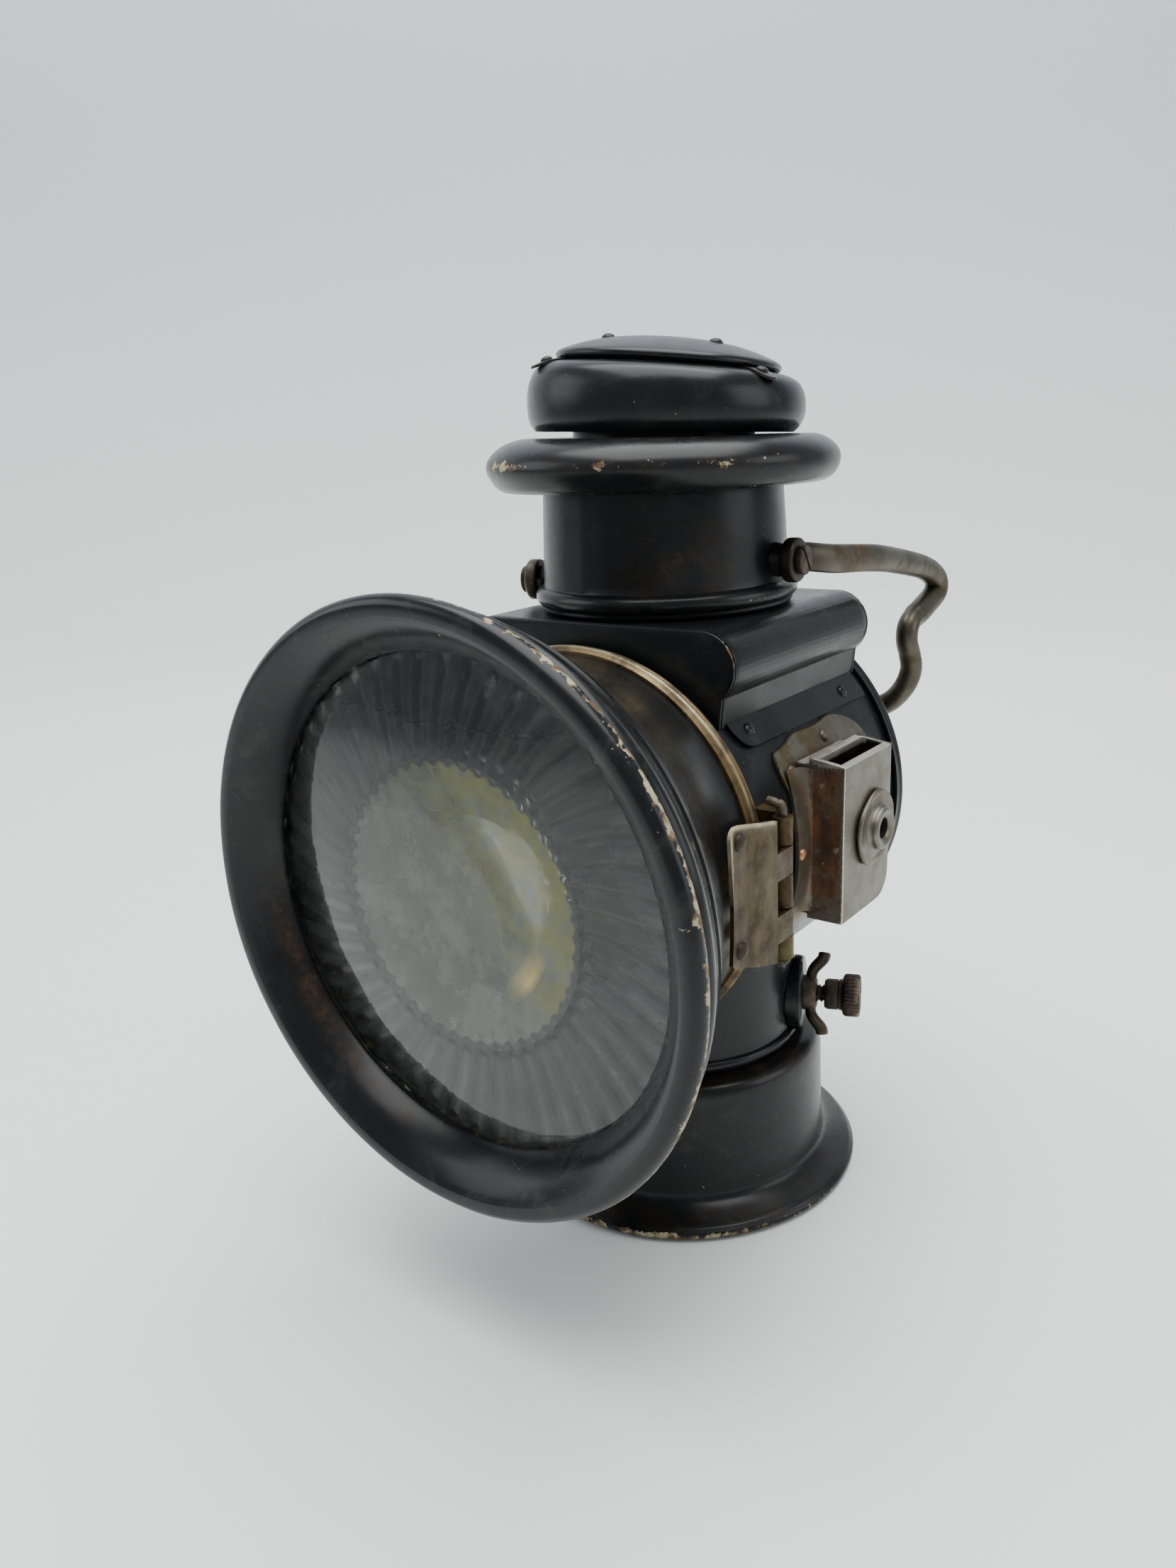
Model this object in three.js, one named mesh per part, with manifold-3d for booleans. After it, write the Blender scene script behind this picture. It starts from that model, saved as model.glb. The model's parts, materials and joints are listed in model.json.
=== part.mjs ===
// Carbide projector lamp with a hinged bull's-eye door, a two-tier chimney and a drop-out foot.
// Millimetres, +Z up. The origin is the centre of the foot, on the surface that it stands on.
// The lamp throws its light along -Y; the door hinge and the bracket socket are on the +X side.

import * as THREE from 'three';
import { mergeVertices } from 'three/addons/utils/BufferGeometryUtils.js';
import Module from 'manifold-3d';

const wasm = await Module();
wasm.setup();

// ---------------------------------------------------------------- driving dimensions

const GAP = 0.3; // clearance between pieces that touch on the real lamp
const SHEET = 1.0; // tinplate thickness
const ROUND = 30; // facets round a large turned piece
const HIDDEN = 20; // facets round a large piece that is out of sight
const FINE = 14; // facets round a screw, pin or rivet

const BARREL_Z = 134.4; // height of the barrel's axis
const BARREL_R = 62; // outer radius of the barrel
const BARREL_FRONT = -52; // Y of the barrel's open front edge
const BARREL_BACK = 47.4; // Y of the barrel's rear edge
const BARREL_SKIN = BARREL_R + GAP; // radius where pieces sit on the barrel

const DOOR_BACK = -53.3; // Y of the door drum's rear edge
const LENS_R = 76.5; // outer radius of the pressed glass
const BULL_R = 42.7; // radius of the bull's-eye
const BEZEL_R = 74; // opening of the hood in front of the glass
const BEZEL_Y = -111; // Y of the bezel
const LIP_R = 86.6; // radius of the centre of the hood's rolled lip
const LIP_Y = -121.6; // Y of the centre of the rolled lip
const LIP_ROLL = 2.9; // radius of the rolled lip

const HINGE_X = 69.5; // hinge pin axis
const HINGE_Y = -48.2;
const HINGE_LOW = 110.8; // bottom of the lowest knuckle
const KNUCKLES = [7.6, 8.6, 10.4, 8.6, 8.4]; // knuckle heights, lowest first
const HINGE_HEIGHT = KNUCKLES.reduce((sum, height) => sum + height, 0);
const KNUCKLE_R = 3.0;
const PIN_R = 1.3;

const SADDLE_TOP = 204.5; // flat top that carries the chimney
const SADDLE_HALF = 41; // half width to the centre of the rolled sides
const SADDLE_ROLL = 11; // radius of the rolled sides
const SADDLE_FRONT = -42.6;
const SADDLE_BACK = 44;

const NECK_R = 42; // outer radius of the neck
const NECK_LOW = 51; // bottom edge of the neck
const FOOT_R = 63.5; // rim radius of the foot

const SCREW_AZIMUTH = THREE.MathUtils.degToRad(22); // clamp screw, turned back from +X
const SCREW_Z = 64.4;
const THREAD_R = 3.05;

const SOCKET_FACE = 74.5; // X of the bracket socket's outer face
const SOCKET_FRONT = -18.5;
const SOCKET_BACK = 14.8;
const SOCKET_LOW = 111.4;
const SOCKET_HIGH = 161.2;
const SOCKET_ROOT = 62.6; // X of the box's inner face
const SOCKET_WALL = 1.4;
const SOCKET_SCREW_Y = 2.2;
const SOCKET_SCREW_Z = 137.2;
const SOCKET_BOSS_R = 12.2;

const RIGHT_EYE = { azimuth: THREE.MathUtils.degToRad(4), z: 219.4 };
const LEFT_EYE = { azimuth: THREE.MathUtils.degToRad(198), z: 213 }; // sits lower, further forward
const HANDLE_X = 52; // side distance of the handle's arms
const ROD_R = 4.3;

// ---------------------------------------------------------------- geometry helpers

/** Only positions, shared vertices merged, no empty triangles, faces pointing out. */
function tidy(geometry) {
  const plain = geometry.clone();
  plain.deleteAttribute('normal');
  plain.deleteAttribute('uv');
  const merged = mergeVertices(plain, 1e-4);
  const index = merged.getIndex().array;
  const position = merged.getAttribute('position');
  const kept = [];
  let volume = 0;
  const a = new THREE.Vector3();
  const b = new THREE.Vector3();
  const c = new THREE.Vector3();
  for (let i = 0; i < index.length; i += 3) {
    const [p, q, r] = [index[i], index[i + 1], index[i + 2]];
    if (p === q || q === r || r === p) continue;
    a.fromBufferAttribute(position, p);
    b.fromBufferAttribute(position, q);
    c.fromBufferAttribute(position, r);
    volume += a.dot(b.cross(c));
    kept.push(p, q, r);
  }
  if (volume < 0) kept.reverse();
  merged.setIndex(kept);
  return merged;
}

function toSolid(geometry) {
  const clean = tidy(geometry);
  const vertProperties = new Float32Array(clean.getAttribute('position').array);
  const triVerts = new Uint32Array(clean.getIndex().array);
  return new wasm.Manifold(new wasm.Mesh({ numProp: 3, vertProperties, triVerts }));
}

function toGeometry(solid) {
  const mesh = solid.getMesh();
  const geometry = new THREE.BufferGeometry();
  geometry.setAttribute('position', new THREE.BufferAttribute(new Float32Array(mesh.vertProperties), 3));
  geometry.setIndex(new THREE.BufferAttribute(new Uint32Array(mesh.triVerts), 1));
  return geometry;
}

function cut(geometry, ...tools) {
  return toGeometry(tools.reduce((solid, tool) => solid.subtract(toSolid(tool)), toSolid(geometry)));
}

function join(geometry, ...others) {
  return toGeometry(others.reduce((solid, other) => solid.add(toSolid(other)), toSolid(geometry)));
}

function common(geometry, ...others) {
  return toGeometry(others.reduce((solid, other) => solid.intersect(toSolid(other)), toSolid(geometry)));
}

/** Points of a round stretch, angles in degrees. */
function arc(x, y, radius, from, to, steps) {
  const points = [];
  for (let i = 0; i <= steps; i += 1) {
    const angle = THREE.MathUtils.degToRad(from + ((to - from) * i) / steps);
    points.push([x + radius * Math.cos(angle), y + radius * Math.sin(angle)]);
  }
  return points;
}

/** Closed outline of a sheet of even thickness that follows an open path. */
function sheet(path, thickness = SHEET) {
  const half = thickness / 2;
  const left = [];
  const right = [];
  path.forEach(([x, y], i) => {
    const [ax, ay] = path[Math.max(i - 1, 0)];
    const [bx, by] = path[Math.min(i + 1, path.length - 1)];
    const before = new THREE.Vector2(x - ax, y - ay).normalize();
    const after = new THREE.Vector2(bx - x, by - y).normalize();
    const course = before.clone().add(after).normalize();
    const segment = i === 0 ? after : before;
    const reach = x === 0 ? half : half / Math.max(course.dot(segment), 0.5);
    const onAxis = new THREE.Vector2(0, Math.sign(bx - ax));
    const normal = x === 0 ? onAxis : new THREE.Vector2(-course.y, course.x);
    left.push([x + normal.x * reach, y + normal.y * reach]);
    right.push([x - normal.x * reach, y - normal.y * reach]);
  });
  return [...left, ...right.reverse()];
}

/** Turned about +Y from a closed outline of [radius, y]. */
function turned(outline, facets = ROUND) {
  const points = outline.map(([r, y]) => new THREE.Vector2(Math.max(r, 0), y));
  points.push(points[0].clone());
  return tidy(new THREE.LatheGeometry(points, facets));
}

/** Turned about the vertical axis from a closed outline of [radius, z]. */
function upright(outline, facets = ROUND) {
  return turned(outline, facets).rotateX(Math.PI / 2);
}

/** Turned about the barrel's axis from a closed outline of [radius, y]. */
function onBarrel(outline, facets = ROUND) {
  return turned(outline, facets).translate(0, 0, BARREL_Z);
}

/** Turned about an axis that leaves the origin along +X, from [radius, x]. */
function along(outline, facets = FINE) {
  return turned(outline, facets).rotateZ(-Math.PI / 2);
}

function drum(radius, low, high) {
  return [[0, low], [radius, low], [radius, high], [0, high]];
}

function tube(inner, outer, low, high) {
  return [[inner, low], [outer, low], [outer, high], [inner, high]];
}

function box(x0, x1, y0, y1, z0, z1) {
  const size = new THREE.BoxGeometry(x1 - x0, y1 - y0, z1 - z0);
  return size.translate((x0 + x1) / 2, (y0 + y1) / 2, (z0 + z1) / 2);
}

function shapeOf(points) {
  return new THREE.Shape(points.map(([x, y]) => new THREE.Vector2(x, y)));
}

/** An XZ outline pushed along +Y. */
function alongY(points, y0, y1) {
  const solid = new THREE.ExtrudeGeometry(shapeOf(points), { depth: y1 - y0, bevelEnabled: false });
  return solid.rotateX(Math.PI / 2).translate(0, y1, 0);
}

/** A YZ outline pushed along +X. */
function alongX(points, x0, x1) {
  const solid = new THREE.ExtrudeGeometry(shapeOf(points), { depth: x1 - x0, bevelEnabled: false });
  return solid.rotateX(Math.PI / 2).rotateZ(Math.PI / 2).translate(x0, 0, 0);
}

/** An XY outline pushed along +Z. */
function alongZ(points, z0, z1) {
  const solid = new THREE.ExtrudeGeometry(shapeOf(points), { depth: z1 - z0, bevelEnabled: false });
  return solid.translate(0, 0, z0);
}

/** A domed rivet head standing on the plane x = 0, pointing along +X. */
function rivetHead(radius, height) {
  const edge = [radius, height * 0.35];
  const shoulder = [radius * 0.7, height * 0.85];
  return along([[0, 0], [radius, 0], edge, shoulder, [0, height]], 8);
}

/** Angle that carries +X onto the barrel's surface normal at the given height. */
function barrelTilt(z, radius) {
  return Math.asin((z - BARREL_Z) / radius);
}

/** Stand a piece made along +X on the barrel's right or left side. */
function standOnBarrel(geometry, side, y, z, radius) {
  const tilt = barrelTilt(z, radius);
  geometry.translate(radius, 0, 0).rotateY(-tilt);
  if (side < 0) geometry.rotateZ(Math.PI);
  return geometry.translate(0, y, BARREL_Z);
}

// ---------------------------------------------------------------- materials

const finishes = {
  japan: { color: 0x16181a, roughness: 0.38, metalness: 0.3 },
  japanWorn: { color: 0x1d1f20, roughness: 0.5, metalness: 0.3 },
  oldBrass: { color: 0x7d5f3a, roughness: 0.45, metalness: 0.9 },
  brightBrass: { color: 0x9c8355, roughness: 0.35, metalness: 0.95 },
  nickel: { color: 0x8e8a80, roughness: 0.35, metalness: 0.95 },
  rustySteel: { color: 0x3a2c22, roughness: 0.7, metalness: 0.6 },
  tin: { color: 0xb4b6b2, roughness: 0.25, metalness: 1.0 },
  copper: { color: 0xa8683f, roughness: 0.4, metalness: 1.0 },
  steatite: { color: 0xd8d0c0, roughness: 0.6, metalness: 0.0 },
  felt: { color: 0x6d675c, roughness: 0.95, metalness: 0.0 },
  glass: { color: 0xcfd6d2, roughness: 0.05, metalness: 0.0 },
};

const lamp = new THREE.Group();

function add(name, geometry, finish) {
  const mesh = new THREE.Mesh(tidy(geometry), new THREE.MeshStandardMaterial(finishes[finish]));
  mesh.name = name;
  lamp.add(mesh);
}

// ---------------------------------------------------------------- barrel

const FLUE_R = 36; // hole in the top of the barrel, under the chimney
const DRAUGHT_R = 30; // hole in the bottom of the barrel, over the neck

function barrelShell() {
  const shell = onBarrel(tube(BARREL_R - SHEET, BARREL_R, BARREL_FRONT, BARREL_BACK));
  const flue = upright(drum(FLUE_R, BARREL_Z, SADDLE_TOP));
  const draught = upright(drum(DRAUGHT_R, NECK_LOW, BARREL_Z));
  return cut(shell, flue, draught);
}

function frontRing() {
  const outer = BARREL_SKIN + SHEET;
  return onBarrel([
    [BARREL_SKIN, BARREL_FRONT - 0.8],
    [outer + 0.2, BARREL_FRONT - 0.8],
    ...arc(outer, BARREL_FRONT + 1.5, 1.3, -50, 50, 3),
    [outer, BARREL_FRONT + 5.4],
    [BARREL_SKIN, BARREL_FRONT + 5.4],
  ]);
}

function rearCover() {
  const seat = BARREL_SKIN + SHEET / 2;
  return onBarrel(sheet([
    [seat, BARREL_BACK - 1.6],
    [seat, BARREL_BACK + 0.5],
    [seat + 0.6, BARREL_BACK + 2],
    [seat - 1, BARREL_BACK + 4],
    [seat - 6, BARREL_BACK + 3.4],
    [seat - 9, BARREL_BACK + 6],
    [0, BARREL_BACK + 9],
  ]));
}

// ---------------------------------------------------------------- saddle under the chimney

/** YZ outline of the socket's plate with its lobes, grown about its middle. */
function socketOutline(grow) {
  const middle = [0, 137];
  return [
    [-27, 108],
    [27, 108],
    [31, 114],
    [31, 158],
    [27, 163],
    [22, 166.6],
    [12, 168.4],
    [-12, 168.4],
    [-17, 166.8],
    [-27, 166],
  ].map(([y, z]) => [middle[0] + (y - middle[0]) * grow, middle[1] + (z - middle[1]) * grow]);
}

const SADDLE_FOOT_X = 44.2; // where the rolled side comes down on the barrel

function saddleOutline(inset) {
  const roll = SADDLE_ROLL - inset;
  const centre = SADDLE_TOP - SADDLE_ROLL;
  const foot = SADDLE_FOOT_X - inset;
  return [
    [-foot, BARREL_Z + 20],
    [foot, BARREL_Z + 20],
    ...arc(SADDLE_HALF, centre, roll, -55, 90, 7),
    ...arc(-SADDLE_HALF, centre, roll, 90, 235, 7),
  ];
}

/** The strip of the saddle that is riveted down on one side of the barrel. */
function saddleStrip(side) {
  const ring = onBarrel(tube(BARREL_SKIN, BARREL_SKIN + SHEET, SADDLE_FRONT + 2, SADDLE_BACK - 2));
  const low = BARREL_Z + 34.5;
  const high = BARREL_Z + 45.2;
  const window = side > 0 ? box(40, 60, -80, 80, low, high) : box(-60, -40, -80, 80, low, high);
  return common(ring, window);
}

function saddleShell() {
  const outer = alongY(saddleOutline(0), SADDLE_FRONT, SADDLE_BACK);
  const inner = alongY(saddleOutline(SHEET), SADDLE_FRONT - 1, SADDLE_BACK + 1);
  const barrel = onBarrel(drum(BARREL_SKIN, SADDLE_FRONT - 5, SADDLE_BACK + 5));
  const flue = upright(drum(FLUE_R, BARREL_Z, SADDLE_TOP + 5));
  const notch = alongX(socketOutline(1.02), 30, 80);
  return join(cut(outer, inner, barrel, flue), cut(saddleStrip(1), notch), saddleStrip(-1));
}

/** End plate of the saddle, from y to y plus its thickness. */
function saddlePlate(y) {
  const plate = alongY(saddleOutline(0), y, y + SHEET);
  const barrel = onBarrel(drum(BARREL_SKIN, y - 5, y + 5));
  return cut(plate, barrel);
}

// ---------------------------------------------------------------- chimney

const CHIMNEY_LOW = SADDLE_TOP + GAP + SHEET / 2;
const VENT_R = 29.3; // outer radius of the vent tube
const CANOPY_LOW_R = 56.5;
const CANOPY_HIGH_R = 43.6;
const CAP_R = 35.4;

function chimney() {
  return upright(sheet([
    [37.5, CHIMNEY_LOW],
    [40.8, CHIMNEY_LOW],
    [41.2, CHIMNEY_LOW + 2.4],
    [42.9, CHIMNEY_LOW + 4],
    [42.6, CHIMNEY_LOW + 5.8],
    [40.3, CHIMNEY_LOW + 7.4],
    [38.6, 244],
    [36.8, 246.4],
    [VENT_R + GAP + 0.6, 247.4],
  ]));
}

function ventTube() {
  const wall = upright(tube(VENT_R - SHEET, VENT_R, 240, 276.6));
  const windows = [];
  for (let i = 0; i < 3; i += 1) {
    windows.push(box(-40, 40, -5, 5, 262, 273).rotateZ((i * Math.PI) / 3));
  }
  return cut(wall, ...windows);
}

function lowerCanopy() {
  return upright(sheet([
    [VENT_R + GAP + 0.2, 257.4],
    [47.5, 257.9],
    [53, 256.3],
    [CANOPY_LOW_R - 0.4, 253],
    [CANOPY_LOW_R, 249.6],
    [55.4, 245.6],
    [53.4, 243.6],
  ]));
}

function upperCanopy() {
  return upright(sheet([
    [21, 277.6],
    [34, 277.3],
    [39.4, 275.4],
    [42.8, 271.8],
    [CANOPY_HIGH_R, 268],
    [42.4, 263.4],
    [40.2, 261.2],
  ]));
}

function topCap() {
  return upright(sheet([
    [0, 287.6],
    [12, 287.1],
    [22, 285.2],
    [30, 282.8],
    [CAP_R, 280],
  ], 0.9));
}

const CLIP_WIDTH = 7;
const CLIP_ANGLES = [-12, -127, 113].map(THREE.MathUtils.degToRad);

/** Bent strip that holds the cap above the upper canopy. */
function capClip(angle) {
  const outline = sheet([[40.4, 276.3], [34, 278.7], [27, 281.3], [17, 284.6]], 0.8);
  return alongY(outline, -CLIP_WIDTH / 2, CLIP_WIDTH / 2).rotateZ(angle);
}

function capRivet(angle) {
  return upright([[0, 0], [2.2, 0], [1.9, 1], [0, 1.7]], 10)
    .rotateY(0.2)
    .translate(20, 0, 286.6)
    .rotateZ(angle);
}

// ---------------------------------------------------------------- handle

const BEAD_OUT = 44.5; // clear of the bead at the chimney's foot
const EYE_IN = 44.0;
const EYE_OUT = 48.4;

/** Put a piece made along +X at one of the handle's eyes. */
function atEye(geometry, eye) {
  return geometry.rotateZ(eye.azimuth).translate(0, 0, eye.z);
}

function vector([x, y, z]) {
  return new THREE.Vector3(x, y, z);
}

/** Where the rod leaves an eye, measured back from it along the chimney's side. */
function eyeEnd(eye, side) {
  const middle = (EYE_IN + EYE_OUT) / 2;
  const out = new THREE.Vector3(Math.cos(eye.azimuth), Math.sin(eye.azimuth), 0);
  const back = new THREE.Vector3(-out.y * side, out.x * side, 0);
  return out.multiplyScalar(middle).addScaledVector(back, 6.5).setZ(eye.z);
}

/** Centreline of one arm behind its eye, up to the middle of the grip. */
function handleArm(side) {
  return [
    [HANDLE_X, 49, 215],
    [HANDLE_X, 72, 211],
    [HANDLE_X, 92, 206.6],
    [HANDLE_X, 103, 201.5],
    [HANDLE_X, 103.5, 196.2],
    [HANDLE_X, 92, 192],
    [HANDLE_X, 80.5, 188.4],
    [HANDLE_X, 78, 182.5],
    [HANDLE_X, 81, 176.5],
    [HANDLE_X, 82.6, 170.5],
    [50, 82, 164],
    [44, 82, 157.5],
    [34, 82, 153.5],
    [18, 82, 152],
  ].map(([x, y, z]) => vector([side * x, y, z]));
}

function handle() {
  const right = [eyeEnd(RIGHT_EYE, 1), vector([49.4, 22, 217.8]), ...handleArm(1)];
  const left = [eyeEnd(LEFT_EYE, -1), vector([-51.4, 8, 214.2]), ...handleArm(-1)];
  const curve = new THREE.CatmullRomCurve3([...right, ...left.reverse()], false, 'centripetal');
  const section = shapeOf(arc(0, 0, ROD_R, 0, 315, 7));
  const rod = new THREE.ExtrudeGeometry(section, { steps: 64, extrudePath: curve, bevelEnabled: false });
  const eyes = [RIGHT_EYE, LEFT_EYE].map((eye) => atEye(along(drum(6.6, EYE_IN, EYE_OUT)), eye));
  const holes = [RIGHT_EYE, LEFT_EYE].map((eye) => atEye(along(drum(2.6, 20, 60)), eye));
  return cut(join(rod, ...eyes), ...holes);
}

/** Soldered boss that fills the space between the chimney and an eye. */
function handleLug(eye) {
  const lug = atEye(along(drum(4.8, 34, EYE_IN - GAP)), eye);
  const bead = [[0, 190], [BEAD_OUT, 190], [BEAD_OUT, 213.2]];
  const wall = upright([...bead, [41.2, 214.6], [39.6, 240], [0, 240]]);
  return cut(lug, wall);
}

/** Cheese-head screw with a driver slot. */
function handleScrew(eye) {
  const head = EYE_OUT + GAP;
  const screw = along([
    [0, EYE_IN + 0.4],
    [2.2, EYE_IN + 0.4],
    [2.2, head],
    [4.6, head],
    [4.4, head + 1.8],
    [0, head + 2],
  ]);
  const slot = box(head + 1.1, head + 4, -6, 6, -0.6, 0.6);
  return atEye(cut(screw, slot), eye);
}

// ---------------------------------------------------------------- neck, water tank and gas way

function neck() {
  const wall = upright(sheet([
    [NECK_R - 0.5, NECK_LOW + 0.2],
    [NECK_R + 1.1, NECK_LOW + 1.2],
    [NECK_R + 1.1, NECK_LOW + 2.8],
    [NECK_R - 0.5, NECK_LOW + 4.2],
    [NECK_R - 0.5, BARREL_Z - 40],
  ]));
  const barrel = onBarrel(drum(BARREL_SKIN, -60, 60));
  const thread = along(drum(THREAD_R + 0.4, 30, 60)).rotateZ(SCREW_AZIMUTH).translate(0, 0, SCREW_Z);
  return cut(wall, barrel, thread);
}

const TANK_R = 37;
const TANK_LOW = 57;
const TANK_HIGH = 70;
const PIPE_R = 3;

function waterTank() {
  return upright(sheet([
    [10.5, TANK_HIGH],
    [TANK_R, TANK_HIGH],
    [TANK_R, TANK_LOW],
    [6, TANK_LOW],
    [6, TANK_HIGH - 2],
  ]), HIDDEN);
}

/** Drip nozzle in the tank's floor, over the carbide pot. */
function dripNozzle() {
  const top = TANK_LOW - 0.8;
  const outline = [[0.6, 48], [1.4, 48], [2.6, 52], [3.4, 52], [3.4, top], [0.6, top]];
  return upright(outline, 12).translate(0, -20, 0);
}

const BURNER_LOW = 118;
const JET_TILT = 0.75; // radians from upright, outwards for the arms and inwards for the jets

function gasPipe() {
  return upright([[1.8, 49], [PIPE_R, 49], [PIPE_R, BURNER_LOW - GAP], [1.8, BURNER_LOW - GAP]], 12);
}

/** Two-jet acetylene burner: a stem with a fork whose jets face each other. */
function burner() {
  const stem = upright([[0, 0], [4.2, 0], [4.2, 3], [2.6, 7], [0, 7]], 12).translate(0, 0, BURNER_LOW);
  const arms = [1, -1].map((side) => {
    const arm = upright(drum(1.5, 0, 10), 8).rotateY(side * JET_TILT);
    const jet = upright(drum(1.7, 0, 3.5), 8).rotateY(side * -JET_TILT);
    arm.translate(side * 0.6, 0, BURNER_LOW + 4);
    jet.translate(side * 8.2, 0, BURNER_LOW + 10);
    return join(arm, jet);
  });
  return join(stem, ...arms);
}

const REFLECTOR_R = 55;
const REFLECTOR_BACK = 38;
const REFLECTOR_FOCUS = 26;

function reflector() {
  const path = [];
  for (let i = 0; i <= 4; i += 1) {
    const r = (REFLECTOR_R * i) / 4;
    path.push([r, REFLECTOR_BACK - (r * r) / (4 * REFLECTOR_FOCUS)]);
  }
  return onBarrel(sheet(path, 0.8), HIDDEN);
}

// ---------------------------------------------------------------- foot with the carbide pot

const POT_R = 43;
const POT_HIGH = 42;

function footSkirt() {
  return upright(sheet([
    [39.6, 66],
    [39.6, NECK_LOW - 0.9],
    [46.6, NECK_LOW - 1],
    [49.6, NECK_LOW - 2.6],
    [50.8, NECK_LOW - 6],
    [51.2, 33],
    [51.3, 10.4],
    [52.6, 7.6],
    [FOOT_R - 0.8, 3.6],
    [FOOT_R - 0.8, 0.6],
  ], 1.2));
}

function carbidePot() {
  return upright(sheet([[0, 2], [POT_R - 2, 2], [POT_R, 4], [POT_R, POT_HIGH]]), HIDDEN);
}

/** Perforated lid: the drip comes in and the gas goes out through its holes. */
function potLid() {
  const disc = upright(drum(POT_R + 1.5, POT_HIGH + 0.8, POT_HIGH + 2), HIDDEN);
  const holes = [upright(drum(9, POT_HIGH - 2, POT_HIGH + 6), 12)];
  for (let i = 0; i < 6; i += 1) {
    const hole = upright(drum(2.4, POT_HIGH - 2, POT_HIGH + 6), 8).translate(0, 22, 0);
    holes.push(hole.rotateZ((i * Math.PI) / 3));
  }
  return cut(disc, ...holes);
}

// ---------------------------------------------------------------- clamp screw in the neck

/** Turn a piece made along +X into the clamp screw's place. */
function atScrew(geometry) {
  return geometry.rotateZ(SCREW_AZIMUTH).translate(0, 0, SCREW_Z);
}

const WING_TILT = THREE.MathUtils.degToRad(24); // how far the wings stand from upright
const BOSS_FACE = 45.4; // distance from the lamp's axis to the boss's face
const COLLAR_IN = 53.8;
const KNOB_IN = 59.6;
const KNOB_OUT = 65.4;

function clampBoss() {
  const outline = [[0, 38], [13.5, 38], [13.5, BOSS_FACE - 1], [12.5, BOSS_FACE], [0, BOSS_FACE]];
  const boss = atScrew(along(outline, 20));
  const wall = upright(drum(NECK_R + GAP, NECK_LOW - 5, BARREL_Z));
  const thread = atScrew(along(drum(THREAD_R + 0.4, 30, 60)));
  const barrel = onBarrel(drum(BARREL_SKIN, -60, 60));
  const bead = upright(drum(NECK_R + 1.6 + GAP, NECK_LOW - 5, NECK_LOW + 4.8));
  return cut(boss, wall, bead, thread, barrel);
}

function clampShank() {
  return atScrew(along([
    [0, 40.6],
    [THREAD_R - 0.6, 40.6],
    [THREAD_R, 41.4],
    [THREAD_R, COLLAR_IN],
    [5.3, COLLAR_IN],
    [5.3, KNOB_IN - 2],
    [2, KNOB_IN - 2],
    [2, KNOB_OUT - 1.4],
    [0, KNOB_OUT - 1.4],
  ]));
}

/** Knurled head, bored to sit over the shank's end. */
function clampKnob() {
  const bore = 2 + GAP;
  const knob = along([
    [bore, KNOB_IN - 1.4],
    [5.4, KNOB_IN - 1.4],
    [7.1, KNOB_IN],
    [7.4, KNOB_IN + 0.8],
    [7.4, KNOB_OUT - 0.8],
    [6.8, KNOB_OUT],
    [0, KNOB_OUT],
    [0, KNOB_OUT - 1.1],
    [bore, KNOB_OUT - 1.1],
  ], 20);
  return atScrew(knob);
}

/** Wing nut: a round hub with two wings that curl away from the boss. */
function wingNut() {
  const inner = BOSS_FACE + GAP;
  const hub = along([
    [THREAD_R + GAP, inner],
    [5.6, inner],
    [5, inner + 5.6],
    [THREAD_R + GAP, inner + 5.6],
  ]);
  const wingOutline = sheet([
    [inner + 2.2, 4.2],
    [inner + 2.4, 8],
    [inner + 3.4, 11],
    [inner + 5.4, 13.8],
  ], 3.2);
  const wings = [1, -1].map((side) => {
    const wing = alongY(wingOutline, -2.4, 2.4);
    return side > 0 ? wing : wing.rotateX(Math.PI);
  });
  return atScrew(join(hub, ...wings).rotateX(WING_TILT));
}

// ---------------------------------------------------------------- bracket socket

/** Stamped plate that follows the barrel, with riveting lobes. */
function socketPlate() {
  const ring = onBarrel(tube(BARREL_SKIN, BARREL_SKIN + SHEET, -40, 40));
  return common(ring, alongX(socketOutline(1), 30, 80));
}

/** YZ outline of the socket's box, with its lower rear corner rounded. */
function socketBox(corner) {
  return [
    [SOCKET_FRONT, SOCKET_LOW],
    ...arc(SOCKET_BACK - corner, SOCKET_LOW + corner, corner, 270, 360, 4),
    [SOCKET_BACK, SOCKET_HIGH],
    [SOCKET_FRONT, SOCKET_HIGH],
  ];
}

/** Folded box that takes the bracket's blade, on a narrower root that meets the plate. */
function bracketSocket() {
  const block = alongX(socketBox(9), SOCKET_ROOT, SOCKET_FACE);
  const root = box(40, SOCKET_ROOT + 0.5, SOCKET_FRONT, SOCKET_BACK - 4, SOCKET_LOW + 4, SOCKET_HIGH - 4);
  const slot = box(
    SOCKET_ROOT + SOCKET_WALL,
    SOCKET_FACE - SOCKET_WALL,
    SOCKET_FRONT + SOCKET_WALL,
    SOCKET_BACK - SOCKET_WALL,
    SOCKET_LOW - 10,
    SOCKET_HIGH + 10,
  );
  const barrel = onBarrel(drum(BARREL_SKIN + SHEET + GAP, -60, 60));
  const thread = along(drum(3.6, 70, 100)).translate(0, SOCKET_SCREW_Y, SOCKET_SCREW_Z);
  return cut(join(block, root), slot, barrel, thread);
}

/** Stepped boss for the screw that grips the bracket's blade. */
function socketBoss() {
  const face = SOCKET_FACE + GAP;
  const boss = along([
    [3.4, face],
    [SOCKET_BOSS_R, face],
    [SOCKET_BOSS_R, face + 1.2],
    [8.2, face + 1.7],
    [6.9, face + 2.4],
    [6.6, face + 3.6],
    [5.8, face + 4.3],
    [3.4, face + 4.3],
  ], 20);
  return boss.translate(0, SOCKET_SCREW_Y, SOCKET_SCREW_Z);
}

// ---------------------------------------------------------------- door hinge

const LEAF_GAP = 0.35; // between neighbouring knuckles

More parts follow.
